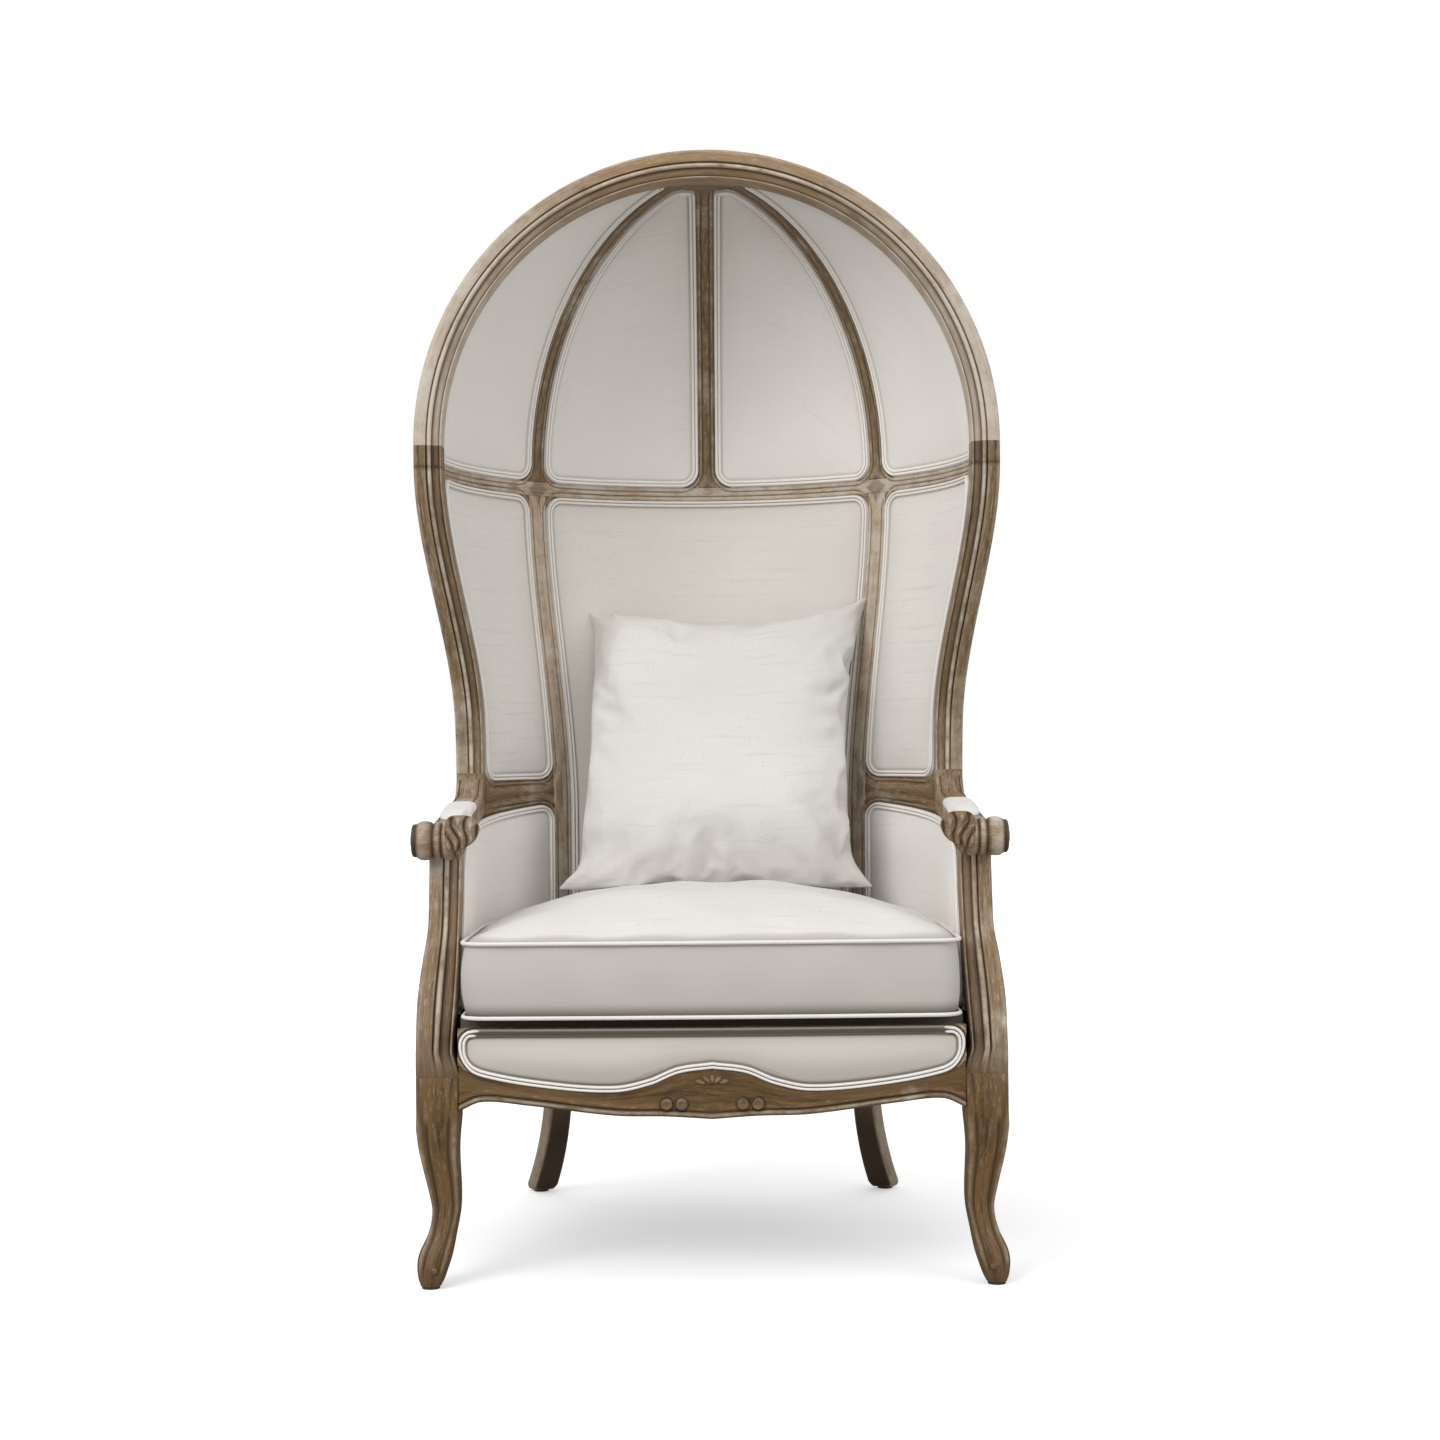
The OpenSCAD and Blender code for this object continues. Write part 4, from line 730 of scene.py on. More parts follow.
def filletShell(place, edges, radius, turns, ways, centre):
    # Wood between a panel's rounded corners and the straight members round it: it rises in a
    # quarter round from under the cloth.
    def ringBy(test):
        return centre[:, None] + ways(turns) * crossing(test, centre, ways(turns))

    inner = ringBy(lambda a, b: roundedDistance(edges(a, b), radius(a, b)) - 0.0012)
    outer = ringBy(lambda a, b: edges(a, b).min(0) + 0.0010)
    rows, tones = [], []
    for share in np.linspace(0, 1, 12) ** 1.3:
        ring = mix(inner, outer, share)
        p, normal = place(*ring)
        height, tone = relief(-roundedDistance(edges(*ring), radius(*ring)))
        rows.append(p + normal * height[:, None])
        tones.append(tone)
    p, normal = place(*outer)
    rows.append(p - normal * 0.012)
    p, normal = place(*inner)
    rows.append(p - normal * 0.012)
    rows.append(rows[0])
    return closedRows(np.array(rows), np.array(tones + [0 * tones[0]] * 3))


def domePlace(radius, side):
    # Place and normal on the dome, from a chart whose distance from its middle is the arc down from
    # the top.
    def place(a, b):
        theta = np.hypot(a, b) / innerRadius
        theta = np.maximum(theta, 1e-6)
        spread = np.hypot(a, b)
        spread = np.maximum(spread, 1e-9)
        aim = stack(np.sin(theta) * a / spread, np.sin(theta) * b / spread, np.cos(theta))
        return aim * radius + np.array([0, hoodY, hoodLevel]), aim * side
    return place


def domeAim(a, b):
    return domePlace(1.0, 1)(a, b)[1]


ribPlane = np.array([math.cos(azimuth), -math.sin(azimuth), 0])
ribAim = np.array([math.sin(azimuth), math.cos(azimuth), 0])


def bay(aim, first, second, outer):
    # Distances from a direction on the dome to the edges of a bay, given its distances from the
    # first two: then the belt rail, and the crown block
    up = innerRadius * np.arcsin(np.clip(aim[..., 2], -1, 1)) - beltTop
    crown = innerRadius * np.maximum(aim[..., outer], aim @ ribAim) - chair["crownReach"]
    return np.stack([first, second, up, crown])


def sideBay(aim):
    # Between the arch and a rib
    fromArch = innerRadius * aim[..., 1] - chair["archDepth"] / 2 - 0.001
    return bay(aim, fromArch, innerRadius * aim @ ribPlane - chair["ribWidth"] / 2, 0)


def backBay(aim):
    # Between the middle rib and the one beside it
    fromMiddle = innerRadius * aim[..., 0] - chair["ribWidth"] / 2
    return bay(aim, fromMiddle, -innerRadius * aim @ ribPlane - chair["ribWidth"] / 2, 1)


def sideBayRadius(arc):
    return mix(0.007, panel["cornerRadius"], ease((arc - 0.10) / 0.30))


def backBayRadius(arc):
    return mix(0.018, panel["cornerRadius"], ease((arc - 0.10) / 0.30))


def wallEdges(place, low, high):
    # Distances to a wall panel's edges: the chords to its two ends at the same level, and the
    # levels below and above.
    def edges(u, z, smooth=False):
        p = place(u, z)[0]
        d = p[..., 1] - seatShift
        ends = []
        for end in (0.0, 1.0):
            inside = np.where((u - end) * (0.5 - end) >= 0, 1, -1)
            ends.append(np.linalg.norm(p - place(0 * u + end, z)[0], axis=-1) * inside)
        return np.stack([*ends, z - low(d), high(d) - z])
    return edges


fillets = {}


def addPanel(node, made, filletName):
    shells, fillet = made
    name = node
    for old, new in (("_pad", "_cushioning"), ("_cover", "_covering"), ("_panel", "_padding")):
        name = name.replace(old, new)
    piece = makePiece(name, shells, "chair", linen, [node], 60)
    fillets.setdefault(filletName, []).append(fillet)


def bothSides(node, made, filletName):
    shells, fillet = made
    for side, copy in (("_right", dict), ("_left", mirrored)):
        addPanel(node + side, ([copy(shell) for shell in shells], copy(fillet)), filletName + side)


def paintLightAndShade(made, amount, crown=0.0):
    # Painted light and shade: adds to the tone of a panel's cloth and cords, so a panel reads lighter
    # or darker as if more or less light fell on it; painted shade under the hood's crown deepens with
    # the height above the springing.
    for shell in made[0]:
        up = shell["points"][:, 2] - hoodLevel
        shell["tone"] = shell["tone"] + amount - crown * ease((up - 0.20) / 0.22)
    return made


def domePanels():
    inside, outside = domePlace(innerRadius - 0.001, -1), domePlace(chair["hoodRadius"] - 0.003, 1)
    for name, bay, radius, middle, gloom in (("side", sideBay, sideBayRadius, [0.36, 0.21], 0.55),
                                             ("back", backBay, backBayRadius, [0.155, 0.40], 0.85)):
        def edges(a, b, smooth=False, bay=bay):
            found = bay(domeAim(a, b))
            if smooth:
                found[3] = np.hypot(a, b) - chair["crownReach"]
            return found

        def corner(a, b, radius=radius):
            return radius(np.hypot(a, b))
        reach = [0.75, 0.75]
        # Painted light on the dome's cushioning, with painted shade towards the crown.
        pads = paintLightAndShade(upholster(inside, edges, middle, reach, 0.009, 0.009, corner), 0.45, gloom)
        covers = upholster(outside, edges, middle, reach, 0.0015, 0.004, corner, 1)
        bothSides(f"dome_pad_{name}", pads, "hood_fillets")
        bothSides(f"dome_cover_{name}", covers, "hood_outer_fillets")


def wallPanels():
    def above(value):
        return lambda d: 0 * d + value

    def armCorner(u, z):
        # Corner radius of an arm's panel: larger below the scroll.
        return mix(panel["cornerRadius"], 0.060, ease((0.30 - u) / 0.15) * ease((z - 0.46) / 0.04))
    deck, rail, belt = above(chair["deckHeight"] + 0.001), above(chair["railTop"]), above(beltLevel)
    wing, arm = (wingFace, frameHalf), (armFace, armHalf)
    inner = {"crown": 0.009, "depth": 0.010, "cords": 2}
    outer = {"crown": 0.0015, "depth": 0.004, "cords": 1}
    jobs = [("wing_pad", wing, -1, above(wingRailTop), belt, [0.5, 0.90], [1.2, 1.0], inner),
            ("wing_cover", wing, 1, above(wingRailTop), belt, [0.5, 0.90], [1.2, 1.0], outer),
            ("arm_panel", arm, -1, deck, underArm, [0.45, 0.48], [1.2, 0.8], inner),
            ("arm_cover", arm, 1, rail, underArm, [0.45, 0.45], [1.2, 0.8], outer)]
    for name, wall, side, low, high, middle, reach, form in jobs:
        place = wallPlace(*wall, side)
        corner = armCorner if wall is arm else None
        made = upholster(place, wallEdges(place, low, high), middle, reach, **form, radius=corner)
        corners = name.split("_")[0] + ("_fillets" if side < 0 else "_outer_fillets")
        # Painted light on the arms' padding.
        bothSides(name, paintLightAndShade(made, 0.5 if name == "arm_panel" else 0), corners)
    inner["crown"] = 0.010
    for name, side, low, corners, form in (("back_pad", -1, deck, "back_fillets", inner),
                                           ("back_cover", 1, rail, "back_outer_fillets", outer)):
        place = wallPlace(backFace, ribHalf, side)
        made = upholster(place, wallEdges(place, low, belt), [0.5, 0.72], [1.2, 1.4], **form)
        # Painted shade over the back's cushioning and covering.
        addPanel(name, paintLightAndShade(made, -0.16), corners)


domePanels()
wallPanels()
print("panels made")


# Upper and lower edge of the apron: share of its half width, and share of its height
apronTopShares = [[0, 0.88], [0.13, 0.8], [0.24, 0.6], [0.385, 0.47], [0.65, 0.55], [0.91, 0.76],
                  [1, 0.97]]
apronLowShares = [[0, 0], [0.18, 0.05], [0.385, 0.07], [0.73, 0.25], [0.91, 0.31], [1, 0.14]]
apronReach = chair["legReach"] - chair["blockWidth"] / 2


def apronEdge(x, shares):
    up = curve(shares, held(np.abs(x) / apronReach), 1)
    return chair["apronUnderside"] + chair["apronHeight"] * up


borderTop = chair["deckHeight"] - 0.011


def borderPlace(x, z):
    depth = chair["blockSetback"] - chair["apronBow"] * (1 - (x / apronReach) ** 2) * 0.6
    slope = 2 * chair["apronBow"] * 0.6 * x / apronReach ** 2
    return stack(x, depth + seatShift, z), unit(stack(slope, -1 + 0 * x, 0 * x))


def borderEdges(x, z, smooth=False):
    slope = (apronEdge(x + 1e-4, apronTopShares) - apronEdge(x - 1e-4, apronTopShares)) / 2e-4
    up = (z - apronEdge(x, apronTopShares)) / np.sqrt(1 + slope ** 2)
    return np.stack([apronReach - x, apronReach + x, up, borderTop - z])


def borderPiece():
    shells, fillet = upholster(borderPlace, borderEdges, [0, 0.324], [1.0, 1.0], 0.012, 0.010,
                               lambda a, b: 0.021)
    for cord in shells[1:]:  # under the cushion the cords sink into the cloth and its shade
        up = ease((cord["points"][:, 2] - borderTop + 0.016) / 0.007)
        hidden = up * ease((0.322 - np.abs(cord["points"][:, 0])) / 0.022)
        cord["points"][:, 1] += 0.008 * hidden
        cord["tone"] = cord["tone"] - 2 * hidden
    # Painted shade: the whole border darker, more so towards its foot, and darkest just under the
    # cushion.
    below = borderTop - shells[0]["points"][:, 2]
    shade = 0.40 * held(below / 0.075) + 1.1 * hump(below, 0, 0.0125)
    shells[0]["tone"] = shells[0]["tone"] - 0.46 - shade
    addPanel("border_pad", (shells, fillet), "border_fillets")


borderPiece()
for name, shells in fillets.items():
    makePiece(name, shells, "chair", oak, (), 50)
print("border and fillets made")


armLineShare = 0.7


def armLine(t):
    # Depth, height and heading of the arm's middle line: straight from the scroll, then a bend up
    # to the stile.
    t = np.asarray(t, float)
    d = mix(chair["scrollSetback"], bendStart, np.minimum(t / armLineShare, 1))
    turn = mix(rise, math.pi / 2, held((t - armLineShare) / (1 - armLineShare)))
    straight = t <= armLineShare
    z = chair["armHeight"] + (d - chair["scrollSetback"]) * math.tan(rise)
    bentDepth = bendStart + chair["armBend"] * (np.sin(turn) - math.sin(rise))
    bentLevel = bendLevel + chair["armBend"] * (math.cos(rise) - np.cos(turn))
    return (np.where(straight, d, bentDepth), np.where(straight, z, bentLevel),
            np.where(straight, rise, turn))


def armMiddle(t):
    atStile = chair["hoodRadius"] - chair["waistDraw"] - frameHalf
    return mix(armReach, atStile, np.asarray(t, float))


# Show-wood: each member is a loft of closed sections. Its inner face follows the relief, so the
# hollows and stars where members meet are carved across their joints.

def panelDepth(points):
    # Distance from points on the inside of the frame to the edge of the nearest panel: positive
    # within a panel, negative on wood.
    x, y, z = np.abs(points[..., 0]), points[..., 1], points[..., 2]
    aim = unit(stack(x, y - hoodY, z - hoodLevel))
    arc = innerRadius * np.arccos(np.clip(aim[..., 2], -1, 1))
    d = y - seatShift
    post = postMiddle(z)
    beside = (x - post[..., 0]) * postSide[0] + (d - post[..., 1]) * postSide[1]
    half = postHalf + fitGap
    top, deckRise = beltLevel - z, z - chair["deckHeight"]
    corner = panel["cornerRadius"]
    behindStile = d - stileMiddle(z) - stileThickness(z) / 2 - fitGap
    wing = np.stack([beside - half, behindStile, top, z - wingRailTop])
    back = np.stack([-beside - half, top, deckRise])
    arm = np.stack([beside - half, d - armPostBack(z), (underArm(d) - z) * math.cos(rise), deckRise])
    walls = [(sideBay(aim), sideBayRadius(arc)), (backBay(aim), backBayRadius(arc)),
             (wing, corner), (back, corner), (arm, corner)]
    return np.max([roundedDistance(edges, radius) for edges, radius in walls], axis=0)


def ringTemplate(across=15, along=5, arc=6):
    # A rounded rectangle as corner shares and arc directions, so that point = share * (half -
    # corner) + direction * corner. It starts on the inner side and runs round.
    parts = []
    for (ox, oy), (wx, wy), count in (((0, -1), (1, 0), across), ((1, 0), (0, 1), along),
                                      ((0, 1), (-1, 0), across), ((-1, 0), (0, -1), along)):
        f = np.linspace(-1, 1, count)
        parts.append(stack(ox + wx * f, oy + wy * f, ox, oy))
        turn = np.linspace(0, np.pi / 2, arc + 2)[1:-1]
        c, d = np.cos(turn), np.sin(turn)
        parts.append(stack(ox + wx, oy + wy, ox * c + wx * d, oy * c + wy * d))
    return np.concatenate(parts)


template = ringTemplate()
innerSide = template[:, 3] < -0.999


def roundedRing(halfA, halfB, corner):
    # Sections of rounded bars: halves and corner may vary from row to row. Gives the coordinates
    # across and out, one row for each section.
    halfA, halfB, corner = (np.atleast_1d(v)[:, None] for v in (halfA, halfB, corner))
    return (template[:, 0] * (halfA - corner) + template[:, 2] * corner,
            template[:, 1] * (halfB - corner) + template[:, 3] * corner)


def woodPiece(name, shells, node, material):
    makePiece(name, shells, "chair", material, [node], 38)


def pair(name, shells, node, material):
    for side, copy in (("_right", dict), ("_left", mirrored)):
        woodPiece(name + side, [copy(shell) for shell in shells], node + side, material)


def reliefFace(points, normal, weight=1.0):
    # Moves the inner side of each section by the relief and gives its tone.
    height, tone = relief(-panelDepth(points))
    moved = points + normal * (height * weight * innerSide)[..., None]
    return moved, tone * weight * innerSide


def ribShell(angle):
    s = np.linspace(0, 1, 150)[:, None]
    across, out = roundedRing(chair["ribWidth"] / 2, ribHalf, 0.0025)
    radius = chair["hoodRadius"] - ribHalf + out - 0.0004
    theta = mix(np.arcsin(chair["crownReach"] / radius), np.arccos(beltTop / radius), s)
    flat = np.sqrt(radius ** 2 - across ** 2)
    forward, up = flat * np.sin(theta), flat * np.cos(theta)
    turn = math.radians(angle)
    local = stack(across * math.cos(turn) + forward * math.sin(turn),
                  forward * math.cos(turn) - across * math.sin(turn), up)
    points, tone = reliefFace(local + [0, hoodY, hoodLevel], -unit(local))
    return gridShell(points, tone)


def beltShell(low, high, rows):
    # Belt rail between two bearings from straight back. The end at the arch is cut flat along its
    # back.
    across, out = roundedRing(chair["beltHeight"] / 2, ribHalf, 0.0025)
    radius = chair["hoodRadius"] - ribHalf + out - 0.0004
    last = np.arccos((chair["archDepth"] / 2 + fitGap) / radius) if high > 80 else np.radians(high)
    bearing = mix(math.radians(low), last, np.linspace(0, 1, rows)[:, None])
    local = stack(radius * np.sin(bearing), radius * np.cos(bearing), across - chair["beltDrop"])
    normal = -unit(local * [1, 1, 0])
    points, tone = reliefFace(local + [0, hoodY, hoodLevel], normal)
    return gridShell(points, tone)


def postShell():
    # Back post and rear leg: a squared post above the rails, rounder and thicker towards the floor.
    low = np.linspace(chair["glideHeight"], chair["railUnderside"], 60)
    high = np.concatenate([np.linspace(chair["railUnderside"], chair["postBend"], 50)[1:],
                           np.linspace(chair["postBend"], beltLevel - 0.0003, 90)[1:]])
    z = np.concatenate([low, high])
    t = held((chair["railUnderside"] - z) / chair["railUnderside"])
    middle = np.where((z < chair["railUnderside"])[:, None], heelMiddle(z), postMiddle(z))
    foot = 1 - 0.16 * np.sqrt(held(1 - (z - chair["glideHeight"]) / 0.009)) ** 3
    size = (1 + 0.20 * t) * foot
    across, out = roundedRing(size * postHalf, size * ribHalf, 0.0026 + 0.0030 * ease(t * 2.2))
    shadedFace = ease((-out / out.max() - 0.84) / 0.12)
    lower = 1 - ease((z - 0.19) / 0.09)
    twist = math.radians(16) * lower[:, None]
    across, out = (across * np.cos(twist) - out * np.sin(twist),
                   across * np.sin(twist) + out * np.cos(twist))
    plan = middle[:, None] + postSide * across[..., None] + postOut * out[..., None]
    points = stack(plan[..., 0], plan[..., 1] + seatShift, z[:, None])
    carved = ease((z - chair["deckHeight"]) / 0.02)[:, None]
    points, tone = reliefFace(points, np.array([-postOut[0], -postOut[1], 0]), carved)
    # Painted shade on the rear legs, darkest on the face turned inwards.
    tone = tone - lower[:, None] * mix(0.4, 1.05, shadedFace)
    return gridShell(points, tone)


# Moulding of arch, stiles and arm posts: share of the width in from the outer edge, share of the depth
# behind the front, and tone, pale wax on the beads and painted shade in the grooves and cove. A broad
# face, a groove, a bead, a cove and a small inner bead.
mouldShares = np.array([
    [0, 1, 0], [0, 0.6, 0], [0, 0.2, 0], [0.006, 0.12, 0.2], [0.03, 0.055, 0.5], [0.07, 0.02, 0.4],
    [0.14, 0.004, 0], [0.25, 0, 0], [0.36, 0.004, 0], [0.43, 0.018, 0.3], [0.452, 0.045, -0.5],
    [0.472, 0.082, -1], [0.49, 0.06, -0.6], [0.512, 0.024, 0.5], [0.54, 0.004, 0.9],
    [0.575, -0.004, 1], [0.61, 0.004, 0.9], [0.638, 0.03, 0.4], [0.655, 0.07, -0.7],
    [0.672, 0.1, -1], [0.72, 0.115, -0.5], [0.79, 0.13, -0.25], [0.86, 0.15, -0.3],
    [0.905, 0.19, -0.8], [0.922, 0.2, -0.9], [0.94, 0.178, 0.5], [0.965, 0.175, 0.6],
    [0.988, 0.2, 0.2], [1, 0.245, 0], [1, 0.6, 0], [1, 1, 0], [0.67, 1, 0], [0.33, 1, 0],
])


def archShell(low, high, rows):
    # A piece of the arch between two angles up from its right springing.
    angle = np.radians(np.linspace(low, high, rows))[:, None]
    radius = chair["hoodRadius"] - mouldShares[:, 0] * chair["frameWidth"]
    y = (mouldShares[:, 1] - 0.5) * chair["archDepth"]
    points = stack(radius * np.cos(angle), hoodY + y, hoodLevel + radius * np.sin(angle))
    return gridShell(points, mouldShares[:, 2])


def mouldShell(z, outer, front, width, thickness):
    # The moulding at each level, from its outer edge, front, width and thickness there
    sizes = (np.broadcast_to(v, z.shape)[:, None] for v in (outer, front, width, thickness))
    outer, front, width, thickness = sizes
    across, back, tone = mouldShares.T
    points = stack(outer - across * width, front + back * thickness + seatShift, z[:, None])
    return gridShell(points, tone)


def stileShell():
    z = np.linspace(stileFoot, hoodLevel, 170)
    thickness = stileThickness(z)
    shell = mouldShell(z, stileOuter(z), stileMiddle(z) - thickness / 2, chair["frameWidth"], thickness)
    level = shell["points"][:, 2]
    joint = hoodLevel - 0.031
    shell["tone"] = (shell["tone"] + 0.45 * ease((0.80 - level) / 0.05)
                     - 0.30 * ease((level - joint) / 0.002)
                     - 0.9 * hump(level, joint, 0.0022))
    return shell


def armPostShell():
    z = np.linspace(chair["legHeight"], armPostTop, 90)
    front, middle, width, thickness = armPost(z)
    seam = 1 - 0.006 * hump(z - chair["legHeight"], 0.0015, 0.002)
    shell = mouldShell(z, middle + width / 2, front, width * seam, thickness)
    level = shell["points"][:, 2]
    fade = ease((level - chair["legHeight"] - 0.004) / 0.045)
    face = np.interp(level, z, front) + seatShift
    depth = shell["points"][:, 1] - face
    flush = depth < 0.28 * thickness.max()
    shell["points"][:, 1] = np.where(flush, face + depth * fade, shell["points"][:, 1])
    shell["tone"] = shell["tone"] * (0.15 + 0.85 * fade) - 0.50 * ease((0.380 - level) / 0.08)
    return shell


cabrioleShares = [
    [0, 0.19, 0.34, 0.53], [0.085, 0.145, 0.3, 0.73], [0.148, 0.08, 0.22, 0.78],
    [0.24, -0.06, 0.09, 0.66], [0.346, -0.155, 0, 0.64], [0.435, -0.14, 0.01, 0.7],
    [0.643, -0.02, 0.05, 0.86], [0.8, 0, 0, 1],
]
leg = {"rows": 150, "around": 120, "ridge": 0.0825, "groove": 0.056, "edge": 0.022, "ball": 0.0058}


def legShells():
    # Cabriole leg: rounded square sections along the curve. A bead runs down the outer front corner
    # between two grooves, and smaller beads edge the front.
    t = np.linspace(0, 1, leg["rows"])[:, None]
    low = np.minimum(t, 0.8)
    block = chair["blockWidth"]
    half = curve(cabrioleShares, low, 3) * block / 2
    x = chair["legReach"] + block * curve(cabrioleShares, low, 1)
    d = chair["blockSetback"] + block / 2 - block * curve(cabrioleShares, low, 2)
    phi = np.linspace(-np.pi, np.pi, leg["around"], endpoint=False)[None, :]
    power = mix(2.3, 14, ease(low / 0.8) ** 1.5)
    radius = (np.abs(np.cos(phi)) ** power + np.abs(np.sin(phi)) ** power) ** (-1 / power)
    fade = ease((t - 0.03) / 0.08) * (1 - ease((t - 0.74) / 0.08))

    def mark(centre, spread):
        return hump(phi, centre, spread)
    corner, inner, outer = -np.pi / 4, -3 * np.pi / 4, np.pi / 4
    ridge = mark(corner, 0.12)
    grooves = (mark(corner - 0.27, 0.08) + mark(corner + 0.27, 0.08)
               + 0.9 * mark(inner + 0.30, 0.07) + 0.7 * mark(outer - 0.3, 0.07))
    edges = mark(inner + 0.10, 0.10) + mark(outer - 0.1, 0.10)
    beads = leg["ridge"] * ridge - leg["groove"] * grooves + leg["edge"] * edges
    radius = radius * (1 + fade * beads)
    seat = hump(t, 1, 0.006) * 0.006 + 0.10 * hump(t, 0, 0.018)
    radius = radius * (1 - seat)
    z = mix(chair["glideHeight"], chair["legHeight"], t)
    points = stack(x + radius * half * np.cos(phi), d + radius * half * np.sin(phi) + seatShift, z)
    # Tone: pale wax on the bead and the edges, painted shade in the grooves.
    tone = fade * (0.5 * ridge + 0.35 * edges - 0.9 * grooves) + 0.05 * ease((t - 0.86) / 0.14)
    shell = gridShell(points, tone)

    toe = int(0.082 * leg["rows"])
    around = np.linspace(0, 2 * np.pi, 28, endpoint=False)
    across, down = np.meshgrid(around, np.linspace(0.05, np.pi - 0.05, 16))
    front = points[toe, :, 1].min()
    centre = np.array([points[toe, :, 0].mean() - block * 0.07, front + leg["ball"] * 0.4, z[toe, 0]])
    wide = np.sin(down)
    ball = centre + leg["ball"] * stack(wide * np.cos(across), wide * np.sin(across), np.cos(down))
    # Painted shade where the toe's ball meets the leg.
    ballTone = np.where(ball[..., 1] > front - 0.0008, -1.0, 0.1)
    return [shell, gridShell(ball, ballTone)]


def boxShell(low, high):
    (x0, y0, z0), (x1, y1, z1) = low, high
    x, y = np.array([x0, x1, x1, x0]), np.array([y0, y0, y1, y1])
    return gridShell(stack(x, y, np.array([[z0], [z1]])))


def wingRailShell():
    # Rail under a wing: it follows the wing's foot, between the arm's underside and the wing.
    u = np.linspace(0, 1, 60)[:, None]
    plan, out = wingFace(u[:, 0], stileFoot)
    half = mix(frameHalf, ribHalf, u)
    share, side = roundedRing(1.0, 1.0, 0.06)
    d = plan[:, None, 1] + out[:, None, 1] * half * side
    low = underArm(d)
    z = mix(low, wingRailTop, (share + 1) / 2)
    points = stack(plan[:, None, 0] + out[:, None, 0] * half * side, d + seatShift, z)
    points, tone = reliefFace(points, -stack(out[:, None, 0], out[:, None, 1], 0 * u))
    return gridShell(points, tone)


armBar = {"corner": 0.0075, "groove": 0.72, "grooveDepth": 0.0014, "swell": 0.011, "swellEnd": 0.55}


def armShells():
    # Arm: a rounded bar along its middle line, with a bead down each upper edge, and a reeded
    # scroll at its front.
    t = np.concatenate([np.linspace(0, armLineShare, 50), np.linspace(armLineShare, 1, 40)[1:]])
    d, z, heading = armLine(t)
    heel = chair["hoodSetback"] + chair["stileSweep"] + chair["stileDepth"] / 2 - d
    drop = (z - underArm(d)) / (np.cos(heading) + np.sin(heading) * math.tan(rise))
    low = -np.minimum(drop, heel / np.maximum(np.sin(heading), 0.001))
    high = barHalf
    half = (high - low) / 2
    out, lift = roundedRing(frameHalf, half, np.full(len(t), armBar["corner"]))
    lift = -lift + ((high + low) / 2)[:, None]
    t, d, z, heading = (v[:, None] for v in (t, d, z, heading))
    side = np.abs(out) / frameHalf
    dent = hump(side, armBar["groove"], 0.07) * (lift > high - 0.0005)
    edge = ease((lift - 0.006) / 0.004) * hump(side, 0.95, 0.1)
    lift = lift - armBar["grooveDepth"] * dent
    inwards = armBar["swell"] * (1 - ease(t / armBar["swellEnd"])) * (0.5 - out / chair["frameWidth"])
    points = stack(armMiddle(t) + out - inwards,
                   d - lift * np.sin(heading) + seatShift, z + lift * np.cos(heading))
    # Tone: pale wax along the upper edges, painted shade in the grooves.
    bar = gridShell(points, 0.3 * edge - 0.9 * dent)

    foot = points[-1:].copy()
    foot[..., 2] = stileFoot
    heelPart = gridShell(np.concatenate([points[-1:], foot]))

    zs = np.linspace(armPostTop, chair["armHeight"] - 0.004, 12)
    front, middle, width, thickness = armPost(np.full(12, armPostTop))
    block = mouldShell(zs, middle + width / 2, front, width, thickness)
    return [bar, heelPart, block] + scrollShells()


# Scroll's turning: place along the drum, share of its radius, and tone, with pale wax on the reeds and
# rings and painted shade in the grooves and on the outer end.
scrollShares = np.array([
    [0, 0, -0.5], [0, 0.2, -0.6], [-0.02, 0.24, 0.2], [-0.02, 0.34, 0.4], [0.0, 0.4, -0.8],
    [0.012, 0.52, -0.7], [0.0, 0.62, -0.3], [0.0, 0.74, -0.9], [0.015, 0.81, -0.8],
    [0.05, 0.845, -0.9], [0.085, 0.835, -1], [0.11, 0.88, -0.5], [0.16, 0.965, 0.5],
    [0.24, 1.0, 0.6], [0.34, 0.985, 0.1], [0.40, 0.93, -0.4], [0.44, 0.85, -1], [0.47, 0.88, -0.6],
    [0.51, 0.945, 0.3], [0.555, 0.955, 0.4], [0.59, 0.91, -0.4], [0.617, 0.845, -1],
    [0.645, 0.89, -0.4], [0.69, 0.965, 0.4], [0.75, 0.99, 0.5], [0.84, 0.96, 0], [0.90, 0.89, -0.8],
    [0.95, 0.93, -0.2], [0.99, 0.9, 0], [1.0, 0.8, -0.4], [1.0, 0.66, -0.9], [1.02, 0.6, 0.2],
    [1.03, 0.5, 0.6], [1.02, 0.4, 0.2], [1.0, 0.34, -0.9], [1.0, 0.24, -0.5], [1.02, 0.2, 0.4],
    [1.03, 0.1, 0.4], [1.03, 0, 0.3],
])


def scrollShells():
    # Turned scroll across the arm's front: reeds round a drum, with turned rings on its end, and
    # the carved block beside it.
    turn = np.linspace(0, 2 * np.pi, 96, endpoint=False)[None, :]
    along, share, tone = scrollShares.T[:, :, None]
    past = (along < 0) * 1 - (along > 1) * 1
    x = apronReach + chair["scrollLength"] * (1 - held(along)) + 0.002 * past
    radius = chair["scrollRadius"] * share
    points = stack(x, chair["scrollSetback"] + radius * np.cos(turn) + seatShift,
                   chair["armHeight"] + radius * np.sin(turn))
    return [gridShell(points[1:-1], tone[1:-1]), carvingShell()]


